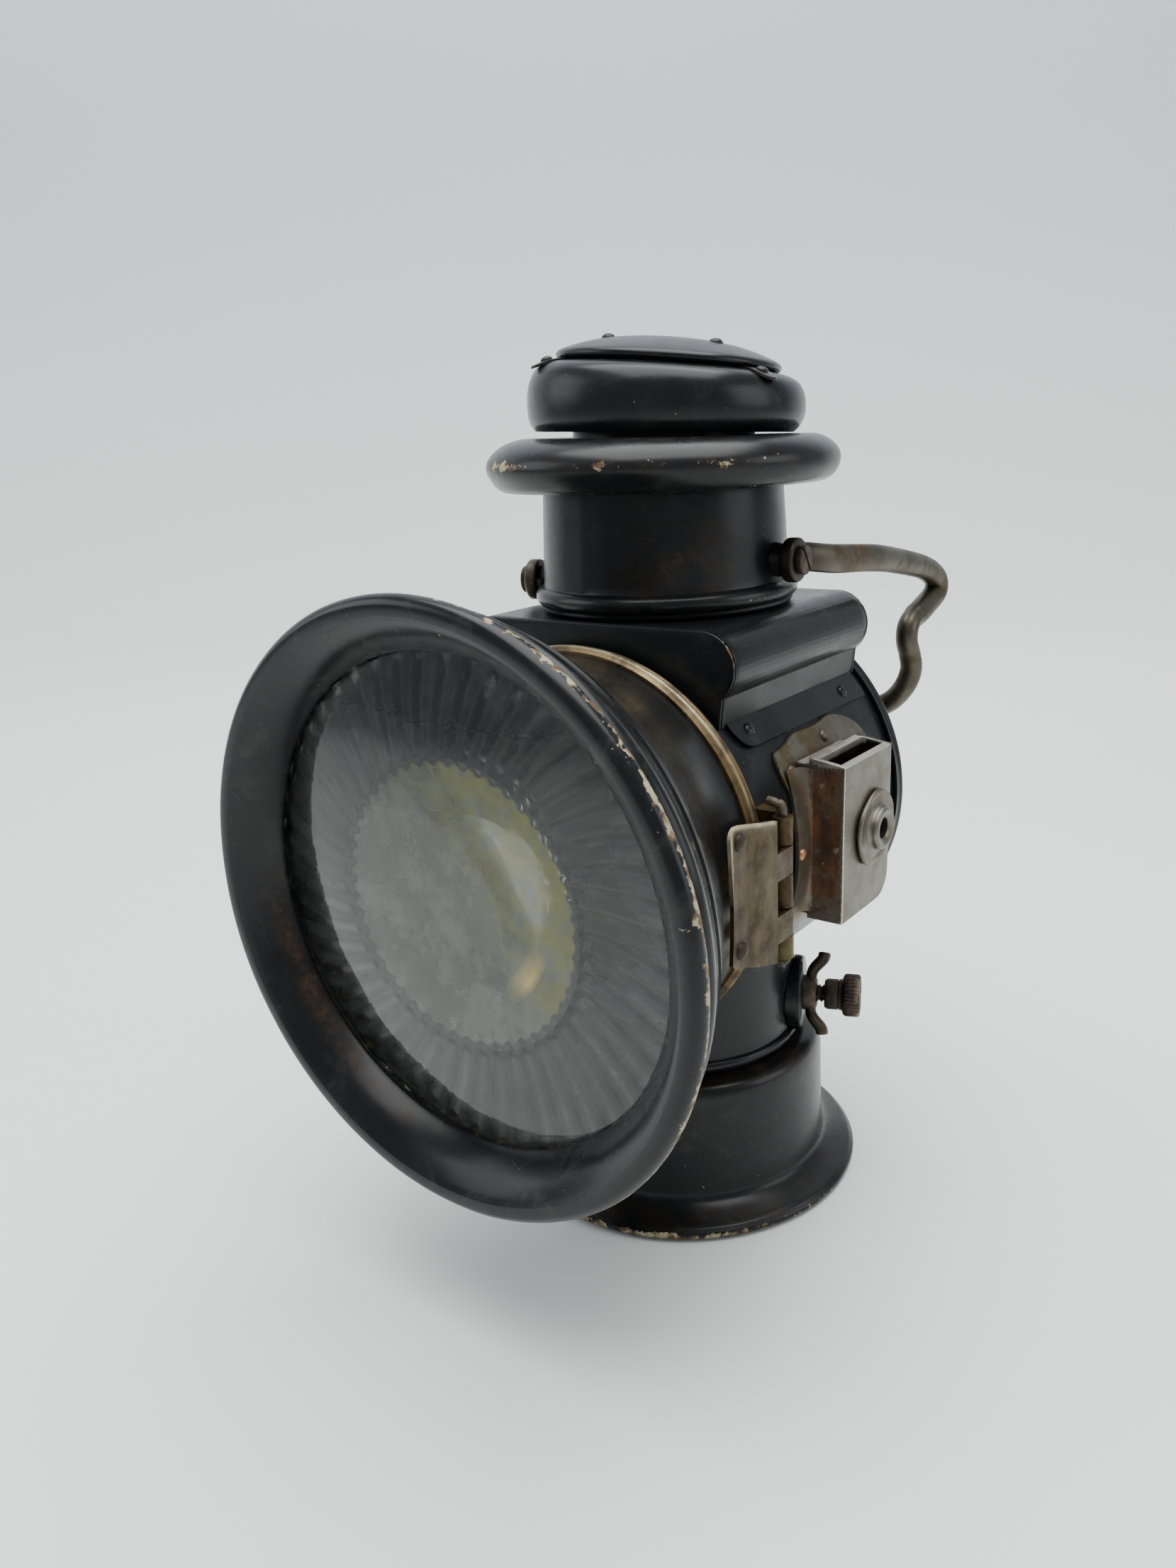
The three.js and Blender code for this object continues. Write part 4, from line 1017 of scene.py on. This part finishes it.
def clamp():
    """Threaded shank with its collar, and the knurled knob."""
    obj = build("clamp_screw_shank", *moved(threaded(3.2, 1.6, 40.6, 54.0), SCREW))
    collar = [(0, 53.0), (4.9, 53.0), *arc(4.8, COLLAR_IN + 0.3, 0.6, -60, 0, 4), (5.4, 57.7), (2.2, 57.9),
              (2.2, 64.0), (0, 64.0)]
    join_into(obj, loose(*moved(turned(collar, False, 40), SCREW)))
    finish_piece(obj, "clamp_screw_shank", (0.15, 0, 0))
    corners = [(2.4, 58.0), (5.4, 58.0), (5.5, 59.0), (6.9, KNOB_IN), (7.5, KNOB_IN + 0.7), (7.5, KNOB_OUT - 0.8),
               (7.0, KNOB_OUT - 0.1), (6.2, KNOB_OUT), (5.6, KNOB_OUT - 0.5), (4.4, KNOB_OUT - 0.7),
               (0, KNOB_OUT - 0.6), (0, KNOB_OUT - 1.2), (2.4, KNOB_OUT - 1.2)]
    outline = corners[:1]
    for a, b in zip(corners, corners[1:]):
        outline += [(a[0] + (b[0] - a[0]) * t, a[1] + (b[1] - a[1]) * t) for t in (0.33, 0.66, 1.0)]
    verts, faces = turned(outline, False, 120)
    knurled = []
    for x, y, z in verts:
        r = math.hypot(x, y)
        if r > 6.9 and KNOB_IN < z < KNOB_OUT:
            share = 1 - 0.28 * (1 - abs(math.cos(math.atan2(y, x) * 15))) / r
            x, y = x * share, y * share
        knurled.append((x, y, z))
    obj = build("clamp_knob", *moved((knurled, faces), SCREW))
    finish_piece(obj, "clamp_knob", lambda x, y, z: (0.75 * bell(math.hypot(x, y), 65.4, 1.0), 0, 0))


def wing_nut():
    """Hub with two curled wings, swept as flat bars that widen to round tips."""
    inner = 45.7
    turn = SCREW @ Matrix.Rotation(math.radians(-24), 4, "Z")
    hub = [(3.4, 0), (6.2, 0), (6.0, 2.6), (5.4, 4.2), (4.8, 4.6), (3.4, 4.6)]
    obj = build("wing_nut", *moved(turned([(r, inner + h) for r, h in hub], False, 48), turn))
    wing = [(4.0, 2.4), (6.6, 2.4), (8.6, 3.2), (10.6, 5.0), (12.4, 6.6), (14.6, 6.8)]
    line = curve_through([(r, inner + h) for r, h in wing], 2)
    last = len(line) - 1
    for side in (1, -1):
        rings = []
        for i, (r, h) in enumerate(line):
            share = i / last
            a, b = line[max(i - 1, 0)], line[min(i + 1, last)]
            course = Vector((b[0] - a[0], b[1] - a[1])).normalized()
            wide = (2.5 + 0.7 * share) * math.sqrt(max(1 - max(0, (share - 0.80) / 0.21) ** 2, 0.02))
            thick = (1.85 + 0.45 * share) * math.sqrt(max(1 - max(0, (share - 0.86) / 0.15) ** 2, 0.05))
            ring = []
            for k in range(14):
                off, across = thick * math.cos(TAU * k / 14), wide * math.sin(TAU * k / 14)
                ring.append((side * (r - course.y * off), across, h + course.x * off))
            rings.append(ring)
        boolean(obj, loose(*moved(tube(rings), turn)), "UNION")
    finish_piece(obj, "wing_nut", (0.2, 0, 0), 50)


boss()
clamp()
wing_nut()

lathe("water_tank", sheet([(10.5, 70), (37, 70), (37, 57), (6, 57), (6, 68)]), mask=(0, 0.3, 0))
lathe("gas_pipe", [(1.8, h) for h in (49, 60, 90, 117.7)] + [(3, h) for h in (117.7, 90, 60, 49)])
for node in ("drip_nozzle", "burner", "pot_lid"):
    refined(node, 0.15, 1)
lathe("reflector", sheet([(r, 38 - r ** 2 / 104) for r in steps_between(0, 55, 40)], 0.8), barrel=True)

# ------------------------------------------------------------------ foot

FOOT_R = 63.5


def foot_mask(x, y, z):
    side = turn_angle(x, y)
    rim = bell(math.hypot(x, y), 63.4, 0.8) * (0.42 + 0.2 * bell(side, -70, 30))
    return (rim, 0.15 * bell(z, 49.4, 2.6) + 0.12 * bell(z, 5, 3), 0.4)


bell_line = curve_through([(39.6, 66), (39.6, 51), (40.2, 49.9), (46.8, 49.9), (49.8, 48.6), (50.9, 45),
                           (51.0, 40), (51.1, 24), (51.3, 12.5), (51.8, 8.6), (54.5, 6.4), (59.0, 4.6),
                           (61.6, 3.8), (62.0, 3.4)], 3)
lathe("foot_skirt", sheet(bell_line + arc(FOOT_R - 1.5, 2.0, 1.0, 60, -80, 8), 1.2), mask=foot_mask)
lathe("base_plate", [(0, 0), (61.0, 0), (61.3, 0.3), (61.3, 0.7), (61.0, 1), (0, 1)], mask=(0.4, 0.5, 0))
lathe("carbide_pot", sheet(curve_through([(0, 2), (36, 2), (42, 2), (43, 3), (43, 9)], 2) + [(43, 24), (43, 42)]))
lathe("filter_felt", [(8, 36), (41.4, 36), (41.6, 36.6), (41.6, 39.4), (41.4, 40), (8, 40)])

# ------------------------------------------------------------------ bracket socket

BOX_LOW, BOX_HIGH = box_mm("bracket_socket")
FACE_X = BOX_HIGH[0]
BOX_FRONT, BOX_BACK = -18.5, BOX_HIGH[1]
BOX_Z0, BOX_Z1 = BOX_LOW[2], BOX_HIGH[2]
BOX_X0, BOX_SKEW = 62.6, 0.035
_, BOSS_Y, BOSS_Z = middle_mm("socket_boss")
BOSS_AT = Matrix.Translation((0, BOSS_Y, BOSS_Z)) @ TO_X


def ring_piece(node, outline, inner, outer, mask):
    """A plate cut from the sheet that follows the barrel, outline in (y, z)."""
    obj = build(node, *prism(outline, "X", 30, 80))
    boolean(obj, skin_layer(inner, outer, -70, 60), "INTERSECT")
    bevelled(obj, 0.3, 2, 40)
    return finish_piece(obj, node, mask, longest=2.5)


ring_piece("socket_plate", socket_outline(1.0), SKIN, SKIN + 1,
           lambda x, y, z: (0.75, 0.5 * bell(y, -24, 8) * bell(z, 134, 20) + 0.06, 0.2))


def fairing():
    """Curved web that joins the plate to the box's front wall."""
    plate_y, top, count = -26.0, BOX_X0 + 1.6, 14
    rows = []
    for j in range(count + 1):
        z = BOX_Z0 + 2.5 + (BOX_Z1 - BOX_Z0 - 5.5) * j / count
        base = math.sqrt((SKIN + 1.3) ** 2 - (z - BARREL_Z) ** 2)
        ts = [i / 10 for i in range(11)]
        rows.append([(base + (top - base) * (1 - math.sqrt(max(1 - t ** 2.2, 0))),
                      plate_y + (BOX_FRONT - plate_y) * t, z) for t in ts])
    under = [[(x - 0.2 - 0.07 * i, y + 0.08 * i, z) for i, (x, y, z) in enumerate(row)] for row in rows]
    return slab(rows, under)


def skewed(obj):
    """The box isn't quite square: its foot stands forward and its top climbs towards the barrel."""
    for v in obj.data.vertices:
        v.co.z += max(0, FACE_X - v.co.x) * 0.15 * max(0, (v.co.z - 145) / 16)
        v.co.y += (v.co.z - BOX_Z1) * BOX_SKEW


def socket():
    outline = [(BOX_FRONT, BOX_Z0), *arc(BOX_BACK - 8, BOX_Z0 + 8, 8, 270, 360, 10), (BOX_BACK, BOX_Z1),
               (BOX_FRONT, BOX_Z1)]
    obj = build("bracket_socket", *prism(outline, "X", BOX_X0, FACE_X))
    boolean(obj, block(40, BOX_X0 + 0.5, BOX_FRONT, BOX_BACK - 4, BOX_Z0 + 1.5, BOX_Z1 - 2), "UNION")
    slot = (BOX_X0 + 2.6, FACE_X - 2.2, BOX_FRONT + 1.8, BOX_BACK - 1.6)
    boolean(obj, block(*slot, BOX_Z0 - 10, BOX_Z1 + 10))
    boolean(obj, drum(SKIN + 1.3, -60, 60, barrel=True))
    boolean(obj, loose(*moved(rod(3.6, 70, 100), BOSS_AT)))
    bevelled(obj, 0.35, 3, 40)
    join_into(obj, loose(*fairing()))
    skewed(obj)

    def mask(x, y, z):
        y -= (z - BOX_Z1) * BOX_SKEW
        # Blue: painted shade, darkening the nickel inside the slot.
        inside = BOX_X0 < x < FACE_X - 1.2 and y > BOX_FRONT + 1.2
        corner = x > FACE_X - 0.45 and y < BOX_FRONT + 0.45
        if corner or (z > BOX_Z1 - 0.4 and y < BOX_BACK - 1):
            return (0, 0, inside)
        edge = bell(x, FACE_X - 0.2, 0.7) + bell(z, BOX_Z1, 0.7) + bell(z, BOX_Z0, 0.7)
        web = y < BOX_FRONT - 0.4
        rust = (y < BOX_FRONT + 0.3) * (1 - min(edge, 0.95)) * (0.35 if web else 1)
        return (0.22 + 0.3 * web, rust, inside)

    finish_piece(obj, "bracket_socket", mask, longest=2.5)


def boss_of_socket():
    face = FACE_X + 0.15
    shoulder = curve_through([(9.6, face + 1.2), (7.6, face + 1.5), (6.9, face + 2.2), (6.8, face + 3.2)], 2)
    outline = [(3.3, face), (11.6, face), *arc(11.3, face + 0.8, 0.8, -60, 90, 6), *shoulder,
               *arc(5.7, face + 3.3, 1.1, 0, 120, 7), (4.2, face + 4.1), (3.3, face + 3.4)]
    obj = build("socket_boss", *moved(turned(outline, False, 96), BOSS_AT))
    for v in obj.data.vertices:
        r = math.hypot(v.co.y - BOSS_Y, v.co.z - BOSS_Z)
        if r > 9.5:
            a = math.atan2(v.co.z - BOSS_Z, v.co.y - BOSS_Y)
            out = 1 + 0.035 * math.sin(2 * a + 0.6) + 0.018 * math.sin(5 * a)
            v.co.y = BOSS_Y + (v.co.y - BOSS_Y) * out
            v.co.z = BOSS_Z + (v.co.z - BOSS_Z) * out
    skewed(obj)
    finish_piece(obj, "socket_boss", lambda x, y, z: (0.15 + 0.3 * bell(x, FACE_X + 1, 1.0), 0, 0))


socket()
boss_of_socket()


def barrel_rivet(node, radius, height, mask=(0.1, 0.1, 0)):
    """Rivet head on the barrel, at its CAD node's place."""
    x, y, z = middle_mm(node)
    out = Vector((x, 0, z - BARREL_Z)).normalized()
    base = off_axis(x, z) - height / 2
    aim = out.to_track_quat("Z", "Y").to_matrix().to_4x4()
    at = Matrix.Translation(Vector((0, y, BARREL_Z)) + out * base) @ aim
    finish_piece(build(node, *moved(rivet(radius, height), at)), node, mask)


for side in ("right", "left"):
    for end in ("front", "rear"):
        barrel_rivet(f"saddle_rivet_{side}_{end}", 2.2, 1.3, (0.3, 0, 0.4))
barrel_rivet("socket_rivet_front", 2.2, 1.3, (0.8, 0.3, 0.1))
barrel_rivet("socket_rivet_top", 2.2, 1.3, (0.8, 0.3, 0.1))
barrel_rivet("socket_rivet_side", 1.9, 1.2)

# ------------------------------------------------------------------ door hinge

PIN_X, PIN_Y, _ = middle_mm("hinge_pin")
PIN_LOW = box_mm("hinge_pin")[0][2]
HINGE_LOW = box_mm("hinge_leaf_rear")[0][2]
KNUCKLES = (7.6, 8.6, 10.4, 8.6, 8.4)
HINGE_TOP = HINGE_LOW + sum(KNUCKLES)
KNUCKLE_R, KNUCKLE_GAP = 3.0, 0.17
PIN_AT = Matrix.Translation((PIN_X, PIN_Y, 0))


def knuckles(first, web):
    """Every other knuckle, from the first, with the web that ties it to its plate."""
    low = HINGE_LOW
    out = []
    for i, height in enumerate(KNUCKLES):
        if i % 2 == first:
            z0, z1 = low + KNUCKLE_GAP, low + height - KNUCKLE_GAP
            out += [moved(rod(KNUCKLE_R, z0, z1), PIN_AT), prism(web, "Z", z0, z1)]
        low += height
    return out


def leaf(node, obj, parts, skin, rivets=()):
    """A hinge leaf: its plate, its knuckles with their webs, the pin's bore, its rivets."""
    for part in parts:
        boolean(obj, loose(*part), "UNION")
    boolean(obj, skin)
    boolean(obj, loose(*moved(rod(1.6, HINGE_LOW - 5, HINGE_TOP + 9, 32), PIN_AT)))
    bevelled(obj, 0.28, 2, 40)
    densified(obj, 2.0)
    for place in rivets:
        join_into(obj, loose(*moved(rivet(2.7, 1.8), Matrix.Translation(place) @ TO_X)))

    def mask(x, y, z):
        heads = [p for p in rivets if math.hypot(y - p[1], z - p[2]) < 3.2]
        around = max([bell(math.hypot(y - p[1], z - p[2]), 3.1, 0.8) for p in rivets] or [0])
        edge = bell(z, HINGE_TOP - 0.209 * (y + 57) + 1.2, 0.8) * (y < -57)
        edge += bell(y, LEAF_FRONT + 0.3, 0.8) * (z > 138)
        return (edge, 1.0 if heads else 0.5 * around, 0)

    obj.name = obj.data.name = node + ".fine"
    finish_piece(obj, node, mask)


DOOR_BACK = box_mm("door_drum")[1][1]
DRUM = [(61.7, DOOR_BACK), (62, -60), (63.8, -68), (66.8, -76), (71, -84.5), (75.6, -92.5)]
LEAF_FRONT, LEAF_NOTCH, LEAF_OUT = -80.6, -56.6, PIN_X + KNUCKLE_R


def rear_leaf():
    outline = [(-46.2, HINGE_LOW), (-37, HINGE_LOW), (-37, HINGE_TOP - 1), (-38, HINGE_TOP), (-46.2, HINGE_TOP)]
    plate = boolean(loose(*prism(outline, "X", 40, 80)), skin_layer(SKIN, SKIN + 1.2, -50, -30), "INTERSECT")
    web = rect(56, PIN_X, -46.2, PIN_Y + KNUCKLE_R)
    leaf("hinge_leaf_rear", plate, knuckles(0, web), drum(SKIN, -60, 0, barrel=True))


def front_leaf():
    """Flat leaf, a little hollow along its riveted edge, which climbs towards the hood."""
    top = [(LEAF_NOTCH, HINGE_TOP + 1.2), (-68, HINGE_TOP + 3.5), (-74.6, HINGE_TOP + 5.0)]
    edge = [(LEAF_FRONT + 0.7, HINGE_LOW + 38), (LEAF_FRONT + 1.3, HINGE_LOW + 28),
            (LEAF_FRONT + 0.9, HINGE_LOW + 18), (LEAF_FRONT, HINGE_LOW + 10.6), (-79.8, HINGE_LOW + 9.4)]
    outline = [(LEAF_NOTCH, HINGE_LOW + 2), *top, *arc(-77.2, HINGE_TOP + 2.0, 3.3, 90, 180, 6), *edge,
               (-68, HINGE_LOW + 5.2)]
    face = [(0, LEAF_NOTCH), (-0.25, -64), (-0.9, -72), (-0.9, -77), (-0.5, -81)]
    sides = [(LEAF_OUT + x, y) for x, y in face] + [(LEAF_OUT + x - 1.2, y) for x, y in face[::-1]]
    plate = boolean(loose(*prism(outline, "X", 60, 80)), loose(*prism(sides, "Z", 90, 180)), "INTERSECT")
    web = rect(LEAF_OUT - 1.2, LEAF_OUT, LEAF_NOTCH - 0.4, PIN_Y)
    door = loose(*turned([(0, DOOR_BACK)] + [(r + 0.7, y) for r, y in DRUM] + [(0, -92.5)], True))
    rivets = [(LEAF_OUT - 1.2, -75.4, z) for z in (HINGE_TOP + 0.6, HINGE_LOW + 13.0)]
    leaf("hinge_leaf_front", plate, knuckles(1, web), door, rivets)


def pin():
    """Straight pin with a small head below and its top end bent over."""
    rod_line = [(0, 0, PIN_LOW + 1.4), (0, 0, 120), (0, 0, 140), (0, 0, HINGE_TOP + 1.4),
                (-1.4, -0.3, HINGE_TOP + 3.4), (-4.4, -0.6, HINGE_TOP + 4.0)]
    line = smooth_line([(PIN_X + x, PIN_Y + y, z) for x, y, z in rod_line], 8)
    obj = build("hinge_pin", *swept(line, lambda p: 1.3, 20))
    head = [(0, 0), (1.8, 0), (2.1, 0.4), (2.0, 1.1), (0, 1.4)]
    join_into(obj, loose(*moved(turned(head, False, 24), Matrix.Translation((PIN_X, PIN_Y, PIN_LOW)))))
    finish_piece(obj, "hinge_pin", (0.4, 0, 0))


rear_leaf()
front_leaf()
pin()

# ------------------------------------------------------------------ door

DRUM_WALL = DRUM + [(79.6, -99.5), (80.4, -103.5)]


def drum_mask(x, y, z):
    r = off_axis(x, z)
    inside = r < np.interp(-y, [-h for _, h in DRUM_WALL], [out for out, _ in DRUM_WALL]) - 0.7
    side = turn_angle(x, z - BARREL_Z)
    rubbed = 0.3 * bell(y, DOOR_BACK, 1.5) + 0.35 * bell(side, 40, 25) * bell(y, -100, 6)
    return (rubbed, 0.6 * inside, 0.45)


drum_line = curve_through(DRUM + [(79.4, -98.8), (80.6, -102.6), (82.6, -104.6)], 3)
lathe("door_drum", sheet(drum_line), barrel=True, fit=False, mask=drum_mask)

HOOD_LOW, HOOD_HIGH = box_mm("hood_rim")
LIP_Y, LIP_ROLL = HOOD_LOW[1] + 3.4, 2.9
LIP_R = (HOOD_HIGH[2] - HOOD_LOW[2]) / 2 - LIP_ROLL - 0.5
LENS_R = (box_mm("lens")[1][2] - box_mm("lens")[0][2]) / 2
BEZEL_Y = -111.0


def hood_mask(x, y, z):
    r = off_axis(x, z)
    side = turn_angle(x, z - BARREL_Z)
    crest = bell(r, LIP_R + 3.2, 1.3) * bell(y, LIP_Y + 0.8, 2.4)
    right = 0.62 * bell(side, 22, 44) + 0.55 * bell(side, -34, 24) + 0.3 * bell(side, 80, 30)
    foot = 0.2 * bell(side, -110, 60)
    low_left = 0.6 * bell(r, 75.5, 1.6) * bell(side, -150, 34)
    return (crest * (right + foot + 0.1), low_left, 0.75)


lathe("hood_rim", sheet(curve_through([
    (LENS_R + 0.9, -101), (LENS_R + 0.9, BEZEL_Y + 0.8), (75.6, BEZEL_Y - 0.2), (74, BEZEL_Y - 0.4),
    (74.2, -112.6), (76.2, -116.4), (79.0, -120.2), (82.6, -123.2), (84.6, -124.2),
], 3) + arc(LIP_R, LIP_Y, LIP_ROLL, -76, 66, 16) + curve_through([
    (LIP_R - 0.4, LIP_Y + 3.6), (85.4, -116.4), (86.4, -114.2), (86.2, -112.4), (84.4, -109.4), (82.8, -106.2),
], 3)), barrel=True, mask=hood_mask)

FLUTES, FLUTE_SLANT = 48, 0.0045
BULL_R = 42.7
LENS_BACK = -106.4


def lens_mask(x, y, z):
    """Red: how much a painted view of the lit reflector covers the back face: all of it behind the bull's-eye,
    and over the flutes painted shade, darker towards the upper left and broken by light streaks; green: the
    reflector's tarnish in that painted view; blue: a painted golden glint.
    """
    r = off_axis(x, z)
    back = 1.0 if y > -108.2 else 0.0
    side = math.atan2(z - BARREL_Z, x)
    # Painted shade over the flutes, darker towards the upper left.
    shade = 0.81 - 0.04 * math.cos(side + TAU / 8)
    flute = (side + FLUTE_SLANT * (r - 58)) * FLUTES / TAU
    uneven = noise.noise(Vector((math.floor(flute) * 0.73, r * 0.05, 0)))
    # Light streaks, one to a flute, where that painted shade thins.
    shade_gaps = bell(flute % 1.0, 0.34, 0.17) * (0.60 + 0.55 * uneven)
    painted_view = back * (1.0 if r < 42.2 else shade * (1 - 0.9 * max(0, shade_gaps)))
    tarnish = back * max(0, min(1, (x * 0.9 + (z - BARREL_Z) * 0.6 + 4) / 30))
    # A painted golden glint: an arc in the lower right of the bull's-eye.
    dx, dz = x - 4, z - BARREL_Z + 2
    streak = back * bell(math.hypot(dx, dz), 24, 1.9) * bell(turn_angle(dx, dz), -38, 15)
    return (painted_view, tarnish, streak)


def lens():
    """Pressed glass: smooth domed front, bull's-eye, and flutes pressed into the back of the ring."""
    around = FLUTES * 12
    front = [(LENS_R * i / 22, BEZEL_Y + 1.2 - 5.6 * (1 - (i / 22) ** 2)) for i in range(22, -1, -1)]
    bull = [(BULL_R * i / 16, -107.6 + 8.6 * (1 - (i / 16) ** 2)) for i in range(17)]
    ring = [(43.4, -107.9), (44.2, -107.4), (45.2, -106.8)]
    ring += [(r, LENS_BACK) for r in steps_between(45.2, 73.4, 20)[1:]]
    ring += [(74.2, -106.6), (75.2, LENS_BACK), (LENS_R, LENS_BACK)]
    outline = front + bull + ring
    verts, faces = turned(outline, True, around)
    out = []
    for x, y, z in verts:
        r = off_axis(x, z)
        a = math.atan2(z - BARREL_Z, x)
        if y > -108.5 and r > 43.2 and r < 75:
            slant = a + FLUTE_SLANT * (r - 58)
            phase = (slant * FLUTES / TAU) % 1.0
            crest = phase / 0.78 if phase < 0.78 else (1 - phase) / 0.22
            fade = min(1, max(0, (r - 43.2) / 2.4)) * min(1, math.sqrt(max(0, (74.6 - r) / 5.0)))
            y += 0.75 * crest * fade
        elif y > -108.4 and 38.5 < r <= 43.2:
            scallop = 1 + 0.012 * abs(math.sin(a * FLUTES / 2))
            x *= scallop
            z = BARREL_Z + (z - BARREL_Z) * scallop
        out.append((x, y, z))
    finish_piece(build("lens", out, faces), "lens", lens_mask, 25)


lens()
lathe("lens_retaining_ring", arc(LENS_R - 1.1, -105, 1.1, 0, 345, 14), barrel=True, fit=False)

refined("catch_tongue", 0.2, 2)
refined("catch_stud", 0.2, 2)

# ------------------------------------------------------------------ studio

CAMERA_AT = Vector((0.22477, -0.3332, 0.26167))
YAW, PITCH, ROLL = (math.radians(v) for v in (38.2237, 16.5271, -3.1286))


def camera():
    data = bpy.data.cameras.new("camera")
    data.lens = 27.39
    data.sensor_width = 36
    data.clip_start = 0.01
    obj = bpy.data.objects.new("camera", data)
    forward = Vector((-math.sin(YAW) * math.cos(PITCH), math.cos(YAW) * math.cos(PITCH), -math.sin(PITCH)))
    right = Vector((math.cos(YAW), math.sin(YAW), 0))
    up = right.cross(forward)
    across = right * math.cos(ROLL) + up * math.sin(ROLL)
    upright = up * math.cos(ROLL) - right * math.sin(ROLL)
    turn = Matrix((across, upright, -forward)).transposed()
    obj.matrix_world = Matrix.Translation(CAMERA_AT) @ turn.to_4x4()
    bpy.context.scene.collection.objects.link(obj)
    bpy.context.scene.camera = obj


def backdrop_finish():
    g = Graph("backdrop")
    # Painted shade: the sweep turns darker and bluer up the wall, standing in for the light's falloff.
    height = g.step(g.along("Z"), 0.0, 0.56)
    colour = g.mix(height, (0.86, 0.885, 0.855), (0.50, 0.54, 0.585))
    colour = g.mix(g.times(g.noise(3, 4), 0.10), colour, (0.70, 0.72, 0.71))
    normal = g.bump(g.noise(400, 3), 0.15, 0.0003)
    return g.done(Base_Color=colour, Roughness=0.85, Normal=normal)


def backdrop():
    """Pale table and wall in one sweep, facing the camera."""
    away = Vector((-math.sin(YAW), math.cos(YAW), 0))
    across = Vector((math.cos(YAW), math.sin(YAW), 0))
    wall, bend = 0.64, 0.12
    rows = [(-2.4, 0), (-1, 0), (-0.4, 0), (0, 0), (wall - bend, 0)]
    rows += arc(wall - bend, bend, bend, -90, 0, 10)[1:]
    rows += [(wall + 0.02, 0.4), (wall + 0.06, 0.9), (wall + 0.1, 1.6)]
    verts, faces = [], []
    for s, h in rows:
        for k in (-2.4, -1, 0, 1, 2.4):
            verts.append(tuple(away * s + across * k + Vector((0, 0, h - 0.0004))))
    for i in range(len(rows) - 1):
        for k in range(4):
            a = i * 5 + k
            faces.append([a, a + 1, a + 6, a + 5])
    mesh = bpy.data.meshes.new("backdrop")
    mesh.from_pydata(verts, [], faces)
    mesh.shade_smooth()
    obj = bpy.data.objects.new("backdrop", mesh)
    bpy.context.scene.collection.objects.link(obj)
    mesh.materials.append(backdrop_finish())


def lamp_light(name, at, toward, size, power, colour=(1, 1, 1), tall=None):
    data = bpy.data.lights.new(name, "AREA")
    data.energy = power
    data.color = colour
    data.shape = "RECTANGLE"
    data.size = size
    data.size_y = tall or size
    obj = bpy.data.objects.new(name, data)
    obj.location = at
    obj.rotation_euler = (Vector(toward) - Vector(at)).to_track_quat("-Z", "Y").to_euler()
    bpy.context.scene.collection.objects.link(obj)


camera()
backdrop()
MIDDLE = (0, 0, 0.14)
lamp_light("overhead", (0.05, -0.05, 1.35), MIDDLE, 1.3, 34)
lamp_light("left", (-1.1, -0.75, 0.75), MIDDLE, 0.8, 5.0, (0.95, 0.98, 1.0))
lamp_light("right", (1.15, 0.35, 0.55), MIDDLE, 0.7, 4.0)
world = bpy.data.worlds.new("studio")
world.use_nodes = True
world.node_tree.nodes["Background"].inputs["Color"].default_value = (0.80, 0.84, 0.88, 1)
world.node_tree.nodes["Background"].inputs["Strength"].default_value = 0.50
bpy.context.scene.world = world
